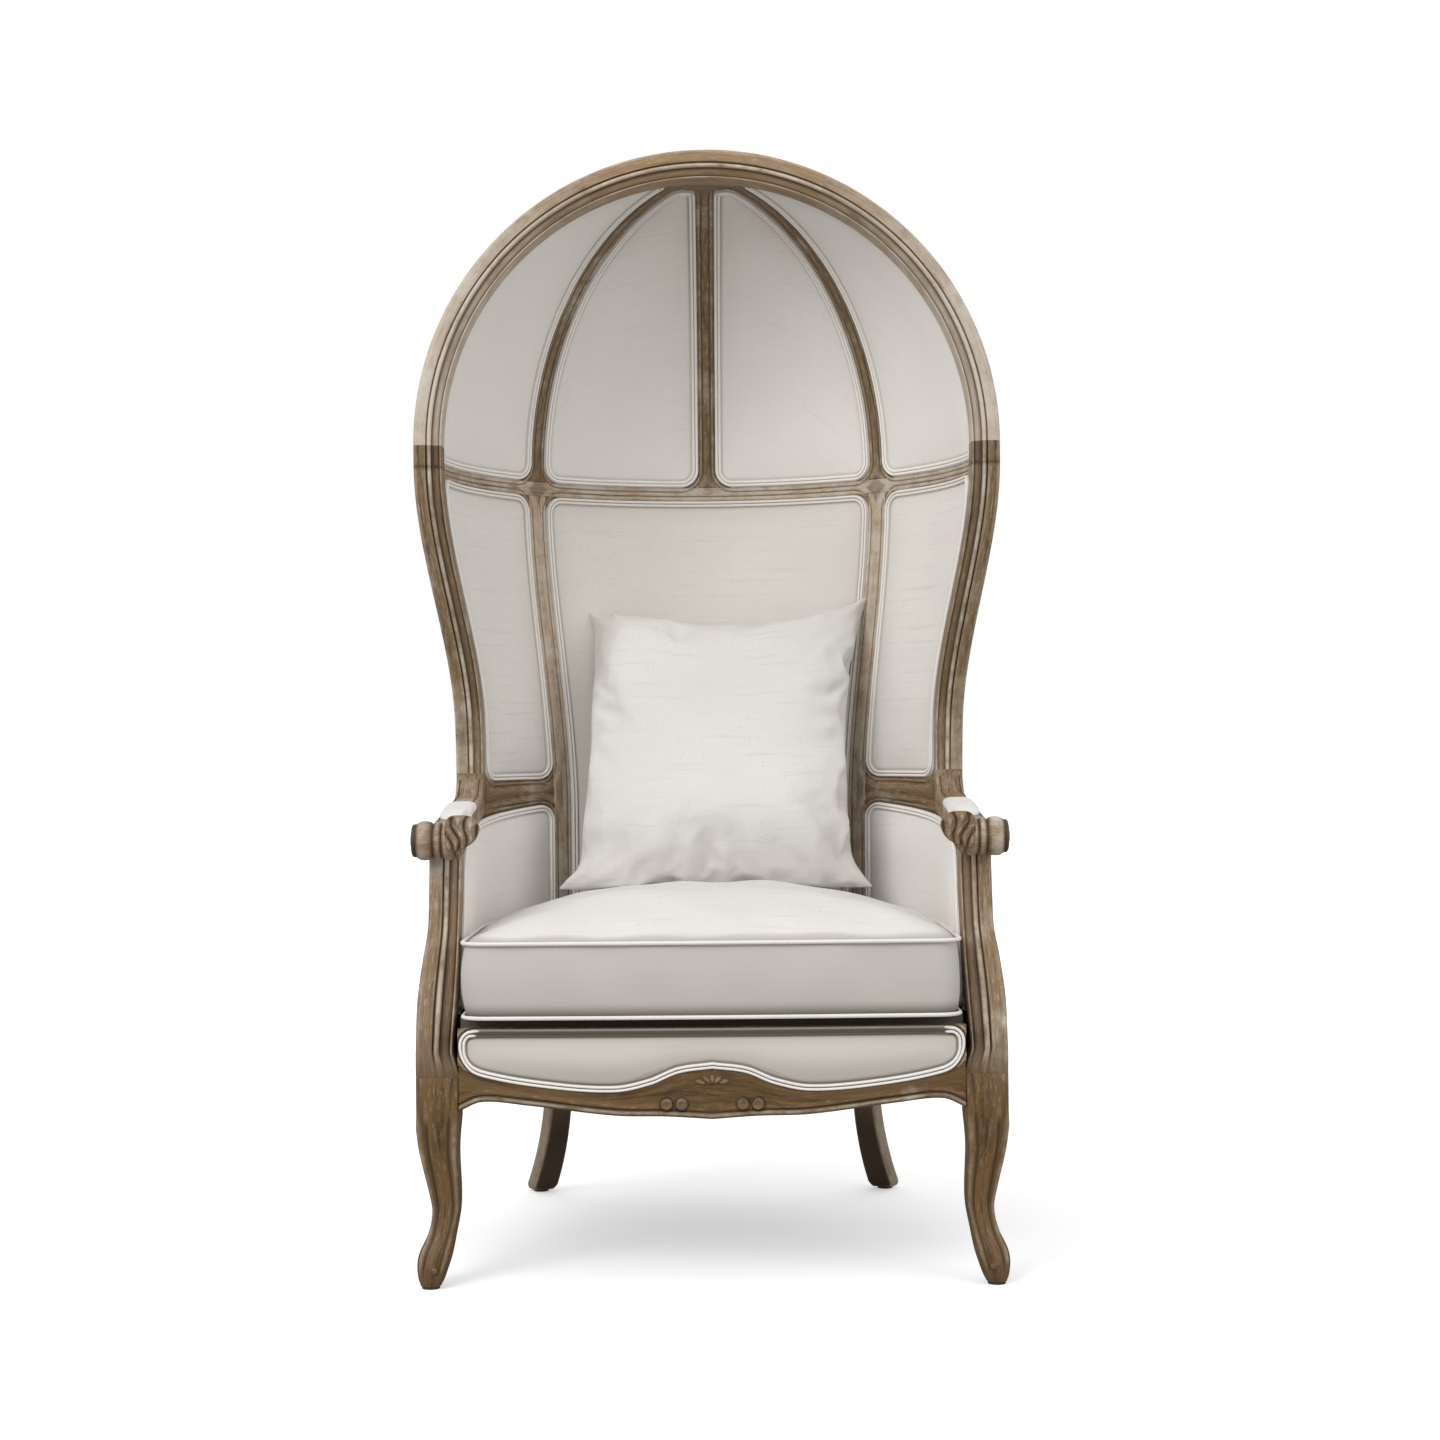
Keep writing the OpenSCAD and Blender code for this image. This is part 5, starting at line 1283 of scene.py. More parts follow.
carving = {"outline": [[-0.024, 0.024], [0.012, 0.025], [0.0255, 0.008],
                       [0.017, -0.012], [-0.004, -0.024], [-0.024, -0.026]],
           "aside": 0.015, "up": 0.0105, "relief": 0.0022, "rings": 44, "softened": 3,
           # rings behind the face: how far back, size, and how far it slips out and drops
           "behind": [(0.004, 1.0, 0, 0), (0.018, 0.97, 0.002, 0.001),
                      (0.034, 0.80, 0.006, 0.005), (0.050, 0.50, 0.012, 0.010)]}


def carvingShell():
    # Carved block on the inner end of the scroll. Its outline is a six-sided figure with softened
    # corners; leaf ribs fan over its face from below, with the height a cosine of the fan's angle,
    # broken into lobes by a second cosine. Behind, it draws in to the arm.
    edge = np.array(carving["outline"])
    for _ in range(carving["softened"]):
        after = np.roll(edge, -1, 0)
        edge = np.stack([0.8 * edge + 0.2 * after, 0.2 * edge + 0.8 * after], 1).reshape(-1, 2)
    edge = np.stack([edge, (edge + np.roll(edge, -1, 0)) / 2], 1).reshape(-1, 2)[::-1]
    share = np.linspace(0.02, 1, carving["rings"])[:, None, None]
    plan = share * edge
    u, w = plan[..., 0] / 0.024, plan[..., 1] / 0.025
    fan = np.arctan2(u + 0.10 + 0.16 * np.sin(3.2 * w), w + 1.9)
    rib = np.cos(fan * 21)
    lobes = np.cos(9.0 * w + 1.2 * rib + 3.0 * u)
    inside = ease((1 - share[..., 0]) / 0.12)
    raised = inside * (0.80 * rib + 0.20 * lobes)
    height = carving["relief"] * raised + 0.0045 * np.sqrt(1 - 0.98 * share[..., 0] ** 4)
    front = chair["scrollSetback"] - chair["scrollRadius"] + 0.0025
    x = armReach - chair["blockWidth"] / 4 - carving["aside"]
    z = chair["armHeight"] + carving["up"]
    # On the right side of the chair the outline's inner half points to smaller x
    face = stack(x - plan[..., 0], front - height + seatShift, z + plan[..., 1])
    sides = [stack(x + slip - size * edge[:, 0], front + back + seatShift, z - drop + size * edge[:, 1])
             for back, size, slip, drop in carving["behind"]]
    # Tone: pale wax on the raised ribs, painted shade in the cuts between them, and the whole block a
    # little darker.
    cut = hump(rib, -1, 0.30) * ease((1.02 - share[..., 0]) / 0.1)
    faceTone = 0.55 * ease((raised - 0.55) / 0.35) - 0.85 * cut - 0.25
    tone = np.concatenate([faceTone, np.full((len(sides), len(edge)), -0.2)])
    return gridShell(np.concatenate([face, np.array(sides)]), tone)


apron = {"columns": 460, "rows": 44, "lip": 0.0035, "groove": 0.0085,
         "scrolls": [0.041, 0.0612], "scrollLevel": 0.2473, "scrollSize": 0.0086,
         # leaves of the spray: turn, place beside the middle, and height
         "leaves": [(0, 0, 0), (48, 0.0075, -0.001), (-48, -0.0075, -0.001),
                    (74, 0.016, -0.004), (-74, -0.016, -0.004)],
         "leafLevel": 0.281, "leafLength": 0.0062, "leafWidth": 0.0024, "leafHeight": 0.0022}


def apronShells():
    # Apron: its face is a height field with a lip along the lower edge, a groove, two pairs of
    # scrolls and a spray of leaves, on a bowed board.
    x = np.linspace(-apronReach, apronReach, apron["columns"])[:, None]
    v = np.linspace(0, 1, apron["rows"])[None, :]
    low, top = apronEdge(x, apronLowShares), apronEdge(x, apronTopShares)
    slope = np.gradient(low[:, 0], x[:, 0])[:, None]
    z = mix(low, top, v)
    e = (z - low) / np.sqrt(1 + slope ** 2)
    groove = e - apron["groove"]
    height = (apron["lip"] * (quarterRound(e / 0.0045) - 1) - 0.0016 * hump(groove, 0, 0.0014)
              - 0.0012 * ease((e - 0.010) / 0.008) * (1 - ease((e - 0.045) / 0.02)))
    # Tone: pale wax on the lip, painted shade in the groove, and the sunk field a little darker.
    tone = 0.7 * hump(e, 0.0048, 0.002) - hump(groove, 0, 0.0013) - 0.2 * ease((e - 0.012) / 0.01)
    r = np.min([np.hypot(np.abs(x) - c, z - apron["scrollLevel"]) for c in apron["scrolls"]], 0)
    share = r / apron["scrollSize"]
    disc = 1 - ease((share - 0.85) / 0.2)
    ring = np.sqrt(np.maximum(1 - ((share - 0.62) / 0.40) ** 2, 0))
    boss = np.sqrt(np.maximum(1 - (share / 0.30) ** 2, 0))
    curl = 0.0030 * (ring + boss)
    height = mix(height, curl, disc)
    # Pale wax on the scrolls' rings and bosses, painted shade in their hollows and round them.
    discTone = 0.15 * (curl > 0.0022) - 0.9 * (curl < 0.001)
    tone = mix(tone - 0.9 * hump(share, 1.08, 0.12), discTone, disc)
    for turn, aside, up in apron["leaves"]:
        a = math.radians(turn)
        px, pz = x - aside, z - apron["leafLevel"] - up
        along = (px * math.sin(a) + pz * math.cos(a)) / apron["leafLength"]
        over = (px * math.cos(a) - pz * math.sin(a)) / apron["leafWidth"]
        leaf = np.exp(-along ** 2 - over ** 2)
        height = height + apron["leafHeight"] * leaf
        # Pale wax on each leaf, painted shade round it.
        tone = tone + 0.9 * leaf - 0.5 * hump(np.hypot(along, over), 1.35, 0.25)
    centre = np.hypot(x / 0.026, (z - 0.252) / 0.016)
    height = height + 0.0016 * (1 - ease((centre - 0.55) / 0.45))
    face = chair["blockSetback"] - chair["apronBow"] * (1 - (x / apronReach) ** 2) - height
    front = stack(x, face + seatShift, z)
    board = chair["blockSetback"] + chair["blockWidth"] / 4
    back = stack(x + np.zeros((1, 2)), board + seatShift, np.concatenate([top, low], 1))
    tone = np.concatenate([tone, np.zeros((len(x), 2))], 1)
    plate = gridShell(np.concatenate([front, back], 1), tone)
    railBack = board + chair["boardThickness"] + seatShift
    rail = boxShell([-apronReach, board + seatShift, chair["railUnderside"]],
                    [apronReach, railBack, chair["railTop"]])
    # Painted shade: the rail's top shows dark in the gap under the cushion.
    rail["tone"] = rail["tone"] - 1
    return [plate, rail]


postAngle, crownStart, crownEnd = chair["postAzimuth"], 65, 115
for side, angle in (("left", -postAngle), ("centre", 0), ("right", postAngle)):
    woodPiece(f"hood_bar_{side}", [ribShell(angle)], f"rib_{side}", stileOak)
woodPiece("waist_rail_back", [beltShell(-postAngle, postAngle, 220)], "belt_rail_back", frameOak)
pair("waist_rail", [beltShell(postAngle, 90, 140)], "belt_rail", frameOak)
pair("upright", [postShell()], "back_post", frameOak)
pair("stile_moulding", [stileShell()], "wing_stile", stileOak)
crownPiece = archShell(crownStart, crownEnd, 110)
woodPiece("arch_moulding_crown", [crownPiece], "hood_arch_crown", crownOak)
pair("arch_moulding", [archShell(0, crownStart, 140)], "hood_arch", paleOak)
pair("arm_upright", [armPostShell()], "arm_post", oak)
pair("cabriole", legShells(), "front_leg", darkOak)
pair("wing_foot_rail", [wingRailShell()], "wing_rail", oak)
pair("arm_with_scroll", armShells(), "arm", oak)
woodPiece("carved_apron", apronShells(), "front_rail", darkOak)
print("show-wood made")


# Armrest pads, deck and dust cover

armrest = {"start": 0.16, "end": 0.47, "width": 0.043, "shift": 0.007, "rise": 0.0112,
           "steps": 60, "sides": 60, "taper": 0.55, "tail": 0.017}


def armrestPads():
    # A low dome along the arm: a superellipse across it, shrinking at both ends.
    v = np.linspace(0, 1, armrest["steps"])[:, None]
    turn = np.linspace(0, np.pi, armrest["sides"])[None, :]
    full = np.sqrt(np.maximum(1 - np.abs(2 * v - 1) ** 5, 0))
    t = mix(armrest["start"], armrest["end"], v)
    d, z, heading = armLine(t)
    half = armrest["width"] / 2 * mix(armrest["taper"], 1, full)
    across = half * np.sign(np.cos(turn)) * np.abs(np.cos(turn)) ** 0.6
    lift = barHalf + 0.0003 + armrest["rise"] * full * np.sin(turn) ** 0.62
    tail = ease((-np.cos(turn) - 0.45) / 0.5) * hump(v, 0.09, 0.13)
    lift = lift - armrest["tail"] * tail
    across = across - 0.0042 * tail
    points = stack(armMiddle(t) + across - armrest["shift"],
                   d - lift * np.sin(heading) + seatShift, z + lift * np.cos(heading))
    shell = gridShell(points)
    for side, copy in (("right", dict), ("left", mirrored)):
        piece = makePiece(f"armrest_cushioning_{side}", [copy(shell)], "chair", paleLinen,
                          [f"armrest_pad_{side}"], 60)


armrestPads()


def deckCloth():
    # A closed slab over the plan of the seat between its walls, from the rails' top up
    low, high = chair["railTop"], chair["deckHeight"]
    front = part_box("seat_deck")[0].y
    u = np.linspace(0, 1, 60)
    side, out = armFace(u, (low + high) / 2)
    side = side - out * mix(armHalf, ribHalf, u)[:, None]
    back, outBack = backFace(np.linspace(0.05, 0.5, 30), (low + high) / 2)
    right = np.concatenate([side, back - outBack * ribHalf])
    right = np.concatenate([[[right[0, 0], front - seatShift]], right])
    plan = np.concatenate([right, (right * np.array([-1, 1]))[::-1]])
    plan[:, 1] += seatShift
    middle = plan.mean(0)
    plan = mix(middle, plan, 0.995)
    plan[:, 1] = np.maximum(plan[:, 1], front + 0.030)
    rings = [(0.5, low), (1, low), (1, high), (0.5, high)]
    rows = [np.column_stack([mix(middle, plan, size), np.full(len(plan), up)]) for size, up in rings]
    shell = gridShell(np.array(rows))
    piece = makePiece("deck_cloth", [shell], "chair", deckLinenAndShade, ["seat_deck"])


deckCloth()


dust = {"thick": 0.0008, "sag": 0.004, "hem": 0.012, "step": 0.006, "rings": 30}


def dustCover():
    # Cloth tacked under the rails: the outline of its solid, shrinking in even rings to the middle.
    # It sags by sag * (1 - size squared), and its hem is doubled.
    mesh = nodes["dust_cover"].data
    corners = np.zeros(len(mesh.vertices) * 3, np.float32)
    mesh.vertices.foreach_get("co", corners)
    corners = corners.reshape(-1, 3).astype(float)
    low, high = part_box("dust_cover")
    under = np.abs(corners[:, 2] - corners[:, 2].min()) < 1e-5
    corners = np.unique(corners[under][:, :2].round(6), axis=0)
    middle = np.array([(low.x + high.x) / 2, (low.y + high.y) / 2])
    corners = corners[np.argsort(np.arctan2(*(corners - middle).T[::-1]))]
    outline = evenLoop(corners, lambda whole: np.arange(0, whole, dust["step"]))
    hemRings = [1.0, 1 - dust["hem"] / 0.3, 1 - dust["hem"] / 0.29]
    size = np.concatenate([hemRings, np.linspace(0.95, 0.02, dust["rings"])])[:, None]
    plan = middle + (outline - middle) * size[..., None]
    ring = np.arange(len(size))[:, None]
    drop = dust["sag"] * (1 - size ** 2) + dust["thick"] * np.where(ring < 2, 0.5, 0)
    under = stack(plan[..., 0], plan[..., 1], high.z - dust["thick"] - drop)
    over = stack(plan[..., 0], plan[..., 1], high.z - drop * (ring > 1))
    shell = gridShell(np.concatenate([under[::-1], over]))
    piece = makePiece("under_cloth", [shell], "chair", blackCloth, ["dust_cover"])


dustCover()
print("arm pads, deck and dust cover made")


# Seat cushion: rings of its outline, drawn in under the edges and shrinking over the crown

cushion = {"around": 480, "round": 0.0278, "frontBow": 0.0056, "backBow": 0.0389, "reach": 0.3334,
           "cord": 0.0027, "wrinkle": 0.0026, "bulge": 0.022, "seam": 0.006, "sideTone": -0.70,
           "seed": 11, "waves": 14, "waveLengths": (0.09, 0.30),
           "welts": [0.036, 0.972], "underRings": 8, "sideRings": 30, "crownRings": 34}
sideShares = np.array([0.25, 0.375, 0.5, 0.625, 0.75, 0.875])
seatLevel = mix(chair["railTop"], chair["deckHeight"], 0.5)


def cornerArc(a, p, b, radius, steps=9):
    # Arc of the given radius that touches the lines from p to a and from p to b.
    a, p, b = (np.array(v, float) for v in (a, p, b))
    way, to = unit(a - p), unit(b - p)
    half = math.acos(float(way @ to)) / 2
    run = radius / math.tan(half)
    middle = p + unit(way + to) * radius / math.sin(half)
    s, e = p + way * run - middle, p + to * run - middle
    turn = math.pi - 2 * half
    t = np.linspace(0, 1, steps)[:, None]
    return middle + (s * np.sin((1 - t) * turn) + e * np.sin(t * turn)) / math.sin(turn)


def bowPoints(a, b, sag, steps=14):
    t = np.linspace(0, 1, steps + 2)[1:-1, None]
    way = unit(b - a)
    return mix(a, b, t) + np.array([way[1], -way[0]]) * sag * 4 * t * (1 - t)


def cushionPlan():
    # Plan of the cushion as evenly spaced points, starting at its right front corner.
    p, out = armFace(sideShares, seatLevel)
    half = mix(armHalf, ribHalf, sideShares)[:, None]
    side = p - out * (half + chair["padCrown"] + chair["weltRadius"] + chair["cushionGap"])
    front = np.array([cushion["reach"], cushion["frontBow"] + 2 * chair["weltRadius"]])
    back = np.array([chair["postReach"], chair["postSetback"] - chair["postWidth"]])
    right = np.concatenate([cornerArc(front * [-1, 1], front, side[0], cushion["round"]), side,
                            cornerArc(side[-1], back, back * [-1, 1], cushion["round"])])
    left = (right * [-1, 1])[::-1]
    points = np.concatenate([right, bowPoints(right[-1], left[0], cushion["backBow"]), left,
                             bowPoints(left[-1], right[0], cushion["frontBow"])])
    plan = evenLoop(points, lambda whole: np.linspace(0, whole, cushion["around"], endpoint=False))
    for _ in range(3):
        plan = (np.roll(plan, 1, 0) + 2 * plan + np.roll(plan, -1, 0)) / 4
    return plan


def ripples(points, seed, waves, low, high):
    # Soft seeded unevenness: a sum of plane waves with random directions, lengths and phases.
    rng = np.random.default_rng(seed)
    total = 0
    for _ in range(waves):
        aim = unit(rng.normal(size=3))
        length, phase = rng.uniform(low, high), rng.uniform(0, 2 * np.pi)
        total = total + np.sin(points @ aim * 2 * np.pi / length + phase)
    return total / math.sqrt(waves)


def seatCushion():
    plan = cushionPlan()
    base = chair["deckHeight"] + 2 * fitGap
    thick, crown = chair["cushionThickness"], chair["cushionCrown"]
    middle = np.array([0, (chair["postSetback"] - chair["postWidth"]) / 2])
    weltLow, weltHigh = cushion["welts"]
    under = np.linspace(0, 1, cushion["underRings"])
    side = np.linspace(0, 1, cushion["sideRings"])
    over = np.linspace(0, 1, cushion["crownRings"])[1:]
    topStart = len(under) + len(side)
    sideRows = slice(len(under), topStart)

    # Each ring is the plan at a size and a level: flat below, pulled in at both seams with a bulge
    # between them, and over the crown 1 - size to the power 2.6 in height
    bulge = cushion["bulge"] * np.sin(np.pi * side) ** 0.7
    seam = cushion["seam"] * sum(hump(side, welt, 0.03) for welt in cushion["welts"])
    edge = cushion["seam"] * (held(1 - side / 0.03) ** 2 + held((side - 0.97) / 0.03) ** 2)
    topSize = 0.976 * (1 - over) ** 0.92 + 0.010
    size = np.concatenate([0.55 + 0.40 * under, 0.988 + bulge - seam - edge, topSize])
    height = 1 - (topSize / 0.986) ** 2.6
    z = base + np.concatenate([0 * under, thick * side, thick + crown * height])
    flat = middle + (plan - middle) * size[:, None, None]
    points = stack(flat[..., 0], flat[..., 1] + seatShift, z[:, None])

    uneven = ripples(points, cushion["seed"], cushion["waves"], *cushion["waveLengths"])
    weight = np.concatenate([0 * under, np.sin(np.pi * side) ** 0.5, np.ones(len(over))])
    lift = uneven * cushion["wrinkle"] * weight[:, None]
    outwardWay = unit(np.concatenate([plan - middle, np.zeros((len(plan), 1))], 1))
    points[sideRows] += outwardWay[None] * lift[sideRows][..., None]
    points[topStart:, :, 2] += lift[topStart:]

    # Painted shade on the boxing: all round it, more towards its foot, and in dark lines beside the
    # cords.
    seams = 0.6 * hump(side, weltLow, 0.10) + hump(side, weltHigh, 0.04)
    foot = 0.05 * (1 - side) + 0.60 * (1 - ease((side - 0.08) / 0.18))
    tone = np.zeros(len(points))
    tone[sideRows] = cushion["sideTone"] - foot - 0.6 * held(seams)
    tone[topStart] = cushion["sideTone"]
    shell = gridShell(points, tone[:, None])
    top = (np.arange(len(points) - 1) >= topStart)[:, None, None, None]
    sideUv = shell["quadUv"].reshape(len(points) - 1, len(plan), 4, 2)
    shell["quadUv"] = np.where(top, chartQuads(points[..., :2]), sideUv).reshape(-1, 4, 2)
    piece = makePiece("box_cushion", [shell], "cushion", paleLinen, ["seat_cushion"], 60)

    way = unit(np.roll(plan, -1, 0) - np.roll(plan, 1, 0))
    out = np.stack([way[:, 1], -way[:, 0]], -1)
    line = middle + (plan - middle) * 1.002 + out * cushion["cord"] * 0.5
    out = stack(out[:, 0], out[:, 1], 0)
    cords = [tubeShell(stack(line[:, 0], line[:, 1] + seatShift, base + thick * share),
                       out, cushion["cord"], 12) for share in cushion["welts"]]
    makePiece("cushion_piping", cords, "cushion", piping, ["cushion_welts"], 60)


seatCushion()
print("seat cushion made")


# Throw pillow: two squares of cloth joined at their edges, blown up by a cloth simulation and laid
# back against the posts

pillow = {
    "cells": 56, "size": 0.470, "start": 0.030, "frames": 34, "seed": 5, "rough": 0.0004,
    "thickness": 0.146, "pinch": 0.02, "aside": 0.008, "tilt": 0.026, "pucker": 0.0045,
    "flap": 0.030, "flapAside": 0.016,
    # what the cloth simulation is told
    "cloth": {"quality": 8, "mass": 0.25, "tension_stiffness": 25, "compression_stiffness": 25,
              "shear_stiffness": 8, "bending_stiffness": 0.35, "use_pressure": True,
              "uniform_pressure_force": 3.4, "air_damping": 2},
    # share of the height, and width there; place across, and height of the top seam there
    "widths": [[0, 1.045], [0.03, 0.99], [0.1, 0.905], [0.25, 0.868], [0.5, 0.842], [0.75, 0.885],
               [0.9, 0.945], [0.97, 0.99], [1, 1.015]],
    "crest": [[-1, 1.0], [-0.8, 0.975], [-0.4, 0.935], [0, 0.915], [0.4, 0.925], [0.8, 0.975],
              [1, 1.02]],
}


def domed(x, y):
    # Dome over a square, 1 at its middle: the root of (1 - x squared) * (1 - y squared)
    return np.sqrt(np.maximum((1 - x ** 2) * (1 - y ** 2), 0))


def pillowSheet():
    # Flat square pair: the two faces share their border points; each starts as a low dome.
    n = pillow["cells"]
    a = np.linspace(-1, 1, n + 1)
    x, y = np.meshgrid(a, a)
    full = domed(x, y)
    rng = np.random.default_rng(pillow["seed"])
    rough = rng.normal(0, pillow["rough"], x.shape) * (full > 0)
    wide = x * (1 - pillow["pinch"] * (1 - y ** 2)) * pillow["size"] / 2
    tall = y * (1 - pillow["pinch"] * (1 - x ** 2)) * pillow["size"] / 2
    thick = pillow["start"] * full + 0.001 * (full > 0)
    sides = [stack(wide, side * thick + rough, tall) for side in (-1, 1)]
    index = np.arange((n + 1) ** 2).reshape(n + 1, n + 1)
    border = np.zeros_like(index, bool)
    border[[0, -1]] = True
    border[:, [0, -1]] = True
    other = np.where(border, index, index + (n + 1) ** 2)
    points = np.concatenate([sides[0].reshape(-1, 3), sides[1].reshape(-1, 3)])

    def faces(table, turned):
        quads = stack(table[:-1, :-1], table[:-1, 1:], table[1:, 1:], table[1:, :-1]).reshape(-1, 4)
        return quads[:, ::-1] if turned else quads

    quads = np.concatenate([faces(index, False), faces(other, True)])
    used = np.unique(quads)
    remap = np.zeros(len(points), int)
    remap[used] = np.arange(len(used))
    flat = np.concatenate([stack(x, y).reshape(-1, 2), stack(x + 3, y).reshape(-1, 2)])
    return points[used], remap[quads], (flat * pillow["size"] / 2)[quads]


def pillowShape():
    points, quads, flat = pillowSheet()
    mesh = bpy.data.meshes.new("pillow_form")
    mesh.from_pydata(points.tolist(), [], quads.tolist())
    form = bpy.data.objects.new("pillow_form", mesh)
    bpy.context.scene.collection.objects.link(form)
    form.modifiers.new("cloth", "CLOTH")
    cloth = form.modifiers["cloth"].settings
    for key, value in pillow["cloth"].items():
        setattr(cloth, key, value)
    cloth.effector_weights.gravity = 0
    form.modifiers["cloth"].point_cache.frame_end = pillow["frames"]
    for step in range(1, pillow["frames"] + 1):
        bpy.context.scene.frame_set(step)
    graph = bpy.context.evaluated_depsgraph_get()
    result = form.evaluated_get(graph).to_mesh()
    shaped = np.zeros(len(result.vertices) * 3, np.float32)
    result.vertices.foreach_get("co", shaped)
    shaped = shaped.reshape(-1, 3).astype(float)
    form.evaluated_get(graph).to_mesh_clear()
    bpy.context.scene.frame_set(1)
    bpy.data.objects.remove(form)
    return shaped, quads, flat


def throwPillow():
    shaped, quads, flat = pillowShape()
    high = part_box("throw_pillow")[1]
    lean = math.radians(chair["pillowLean"])
    half, cells = chair["pillowSize"] / 2, pillow["cells"]
    span = shaped.max(0) - shaped.min(0)
    shaped = shaped - (shaped.max(0) + shaped.min(0)) / 2
    shaped[:, 1] *= min(1.0, pillow["thickness"] / span[1])

    # Place on a face: across runs from -1 to 1 between the side seams, share from 0 to 1 up to the top
    edge = np.arange(cells + 1)
    seam, crest = shaped[edge * (cells + 1) + cells], shaped[cells * (cells + 1) + edge]
    widest = np.interp(shaped[:, 2], seam[:, 2], seam[:, 0])
    highest = np.interp(shaped[:, 0], crest[:, 0], crest[:, 2])
    across = np.clip(shaped[:, 0] / widest, -1, 1)
    share = held((shaped[:, 2] + highest) / (2 * highest))
    x = across * half * curve(pillow["widths"], share, 1)
    up = 2 * half * share * mix(1, curve(pillow["crest"], across, 1), share)

    # Folds above the bottom seam, inside the side seams and at the corners, each a sine along its seam
    bottom = hump(share, 0.10, 0.07) * (1 - across ** 8)
    beside = hump(np.abs(across), 0.86, 0.09) * hump(share, 0.5, 0.30)
    corner = ease((np.abs(across) + np.abs(2 * share - 1) - 1.45) / 0.5)
    folds = (bottom * np.sin(across * 21 + 2.2 * np.sin(across * 5) + 4 * share)
             + 0.7 * beside * np.sin(share * 46 + 3 * np.sin(share * 11) + 5 * across)
             + 0.8 * corner * np.sin(28 * (np.abs(across) - np.abs(2 * share - 1)) + 2 * share))
    onFace = (1 - across ** 2) * (4 * share * (1 - share)) > 0.001
    thick = shaped[:, 1] * (1 + 0.30 * hump(share, 0.22, 0.16))
    thick = thick + np.sign(shaped[:, 1]) * folds * pillow["pucker"] * onFace
    turned = ease((share - across - 1.55) / 0.35)  # the upper left corner folds back
    thick = thick + pillow["flap"] * turned
    x = x + pillow["flapAside"] * turned + pillow["tilt"] * up + pillow["aside"]
    y = up * math.sin(lean) + thick * math.cos(lean)
    z = up * math.cos(lean) - thick * math.sin(lean)
    footY = high.y - chair["pillowSize"] * math.sin(lean) - 0.002
    footZ = high.z - chair["pillowSize"] * math.cos(lean)
    points = stack(x, y + footY, z + footZ)
    shell = {"points": points, "quads": quads, "quadUv": flat, "tris": np.zeros((0, 3), int),
             "triUv": np.zeros((0, 3, 2)), "tone": np.zeros(len(points))}
    piece = makePiece("scatter_pillow", [shell], "pillow", paleLinen,
                      ["throw_pillow"], 75)
    divide = piece.modifiers.new("finer", "SUBSURF")
    divide.levels = divide.render_levels = 1


throwPillow()
print("pillow made")


# Floor, light and camera

def toCamera(tree, shown, other, output):
    # The camera sees one shader; light that bounces meets the other
    path = addNode(tree, "ShaderNodeLightPath").outputs["Is Camera Ray"]
    swap = addNode(tree, "ShaderNodeMixShader", {0: path, 1: other.outputs[0], 2: shown.outputs[0]})
    tree.links.new(swap.outputs[0], tree.nodes[output].inputs["Surface"])


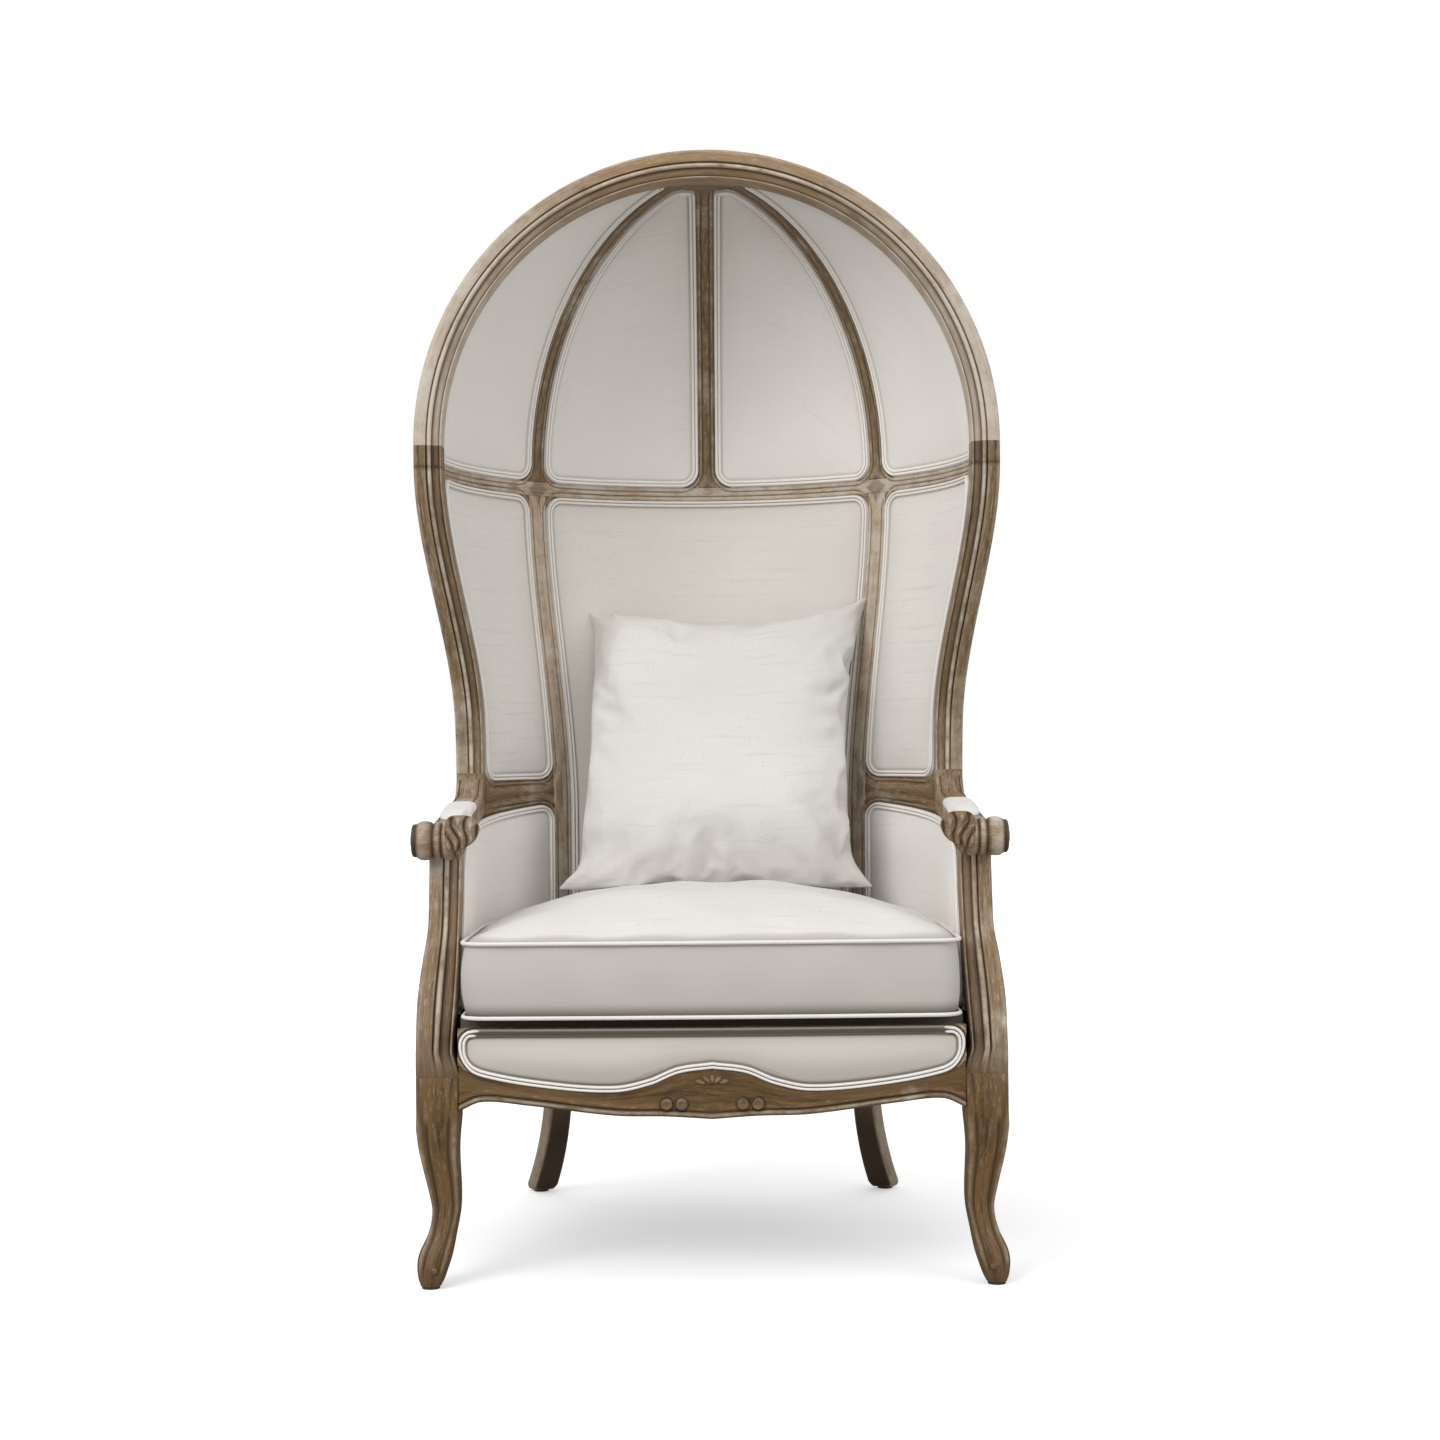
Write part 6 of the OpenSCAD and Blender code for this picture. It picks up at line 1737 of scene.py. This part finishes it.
def stageFloor():
    # A pale floor. To the camera it fades to white away from the chair; near it, it keeps the
    # shadow.
    bpy.ops.mesh.primitive_plane_add(size=60, location=(0, 0, 0))
    floor = bpy.context.object
    floor.name = "floor"
    material, tree, shader = newMaterial("floor_paint")
    shader.inputs["Base Color"].default_value = (0.80, 0.80, 0.80, 1)
    shader.inputs["Roughness"].default_value = 0.9
    shader.inputs["Specular IOR Level"].default_value = 0.0
    apart = addNode(tree, "ShaderNodeVectorMath", {0: coordinate(tree, "Object")}, operation="LENGTH")
    far = level(tree, apart.outputs["Value"], 0.55, 2.2)
    white = addNode(tree, "ShaderNodeEmission", {"Color": (1, 1, 1, 1), "Strength": 1.0})
    seen = addNode(tree, "ShaderNodeMixShader", {0: far, 1: shader.outputs[0], 2: white.outputs[0]})
    bounce = addNode(tree, "ShaderNodeBsdfDiffuse", {"Color": (0.42, 0.42, 0.42, 1)})
    added = addNode(tree, "ShaderNodeEmission", {"Color": (1, 1, 1, 1), "Strength": 0.42})
    both = addNode(tree, "ShaderNodeAddShader", {0: seen.outputs[0], 1: added.outputs[0]})
    toCamera(tree, both, bounce, "Material Output")
    floor.data.materials.append(material)


def stageLight(name, place, aim, size, power):
    data = bpy.data.lights.new(name, "AREA")
    data.shape = "RECTANGLE"
    data.size, data.size_y = size
    data.energy = power
    lamp = bpy.data.objects.new(name, data)
    lamp.location = place
    lamp.rotation_euler = (Vector(aim) - Vector(place)).to_track_quat("-Z", "Y").to_euler()
    bpy.context.scene.collection.objects.link(lamp)


stageFloor()
stageLight("key", (-2.3, -3.3, 3.25), (0, 0, 0.8), (2.2, 2.2), 100)
stageLight("fill", (3.2, -2.8, 2.0), (0, 0, 0.9), (2.4, 2.4), 34)
stageLight("top", (0, -0.9, 3.9), (0, 0, 0.6), (3.0, 3.0), 22)
world = bpy.data.worlds.new("room")
bpy.context.scene.world = world
world.use_nodes = True
tree = world.node_tree
background = tree.nodes["Background"]
background.inputs["Color"].default_value = (1, 1, 1, 1)
background.inputs["Strength"].default_value = 0.68
seen = addNode(tree, "ShaderNodeBackground", {"Color": (1, 1, 1, 1), "Strength": 1.0})
toCamera(tree, seen, background, "World Output")

view = {"distance": 3.050, "height": 0.733, "lens": 57.35, "roll": 0.504,
        "shiftX": 0.0075, "shiftY": 0.0139}
camera = bpy.data.objects.new("camera", bpy.data.cameras.new("camera"))
camera.data.sensor_width = 36
camera.data.lens = view["lens"]
camera.data.shift_x = view["shiftX"]
camera.data.shift_y = view["shiftY"]
camera.location = (0, seatShift - view["distance"], view["height"])
camera.rotation_euler = (math.radians(90), math.radians(view["roll"]), 0)
bpy.context.scene.collection.objects.link(camera)
bpy.context.scene.camera = camera
bpy.context.scene.view_settings.view_transform = "Standard"
print("stage made")

bpy.context.view_layer.update()
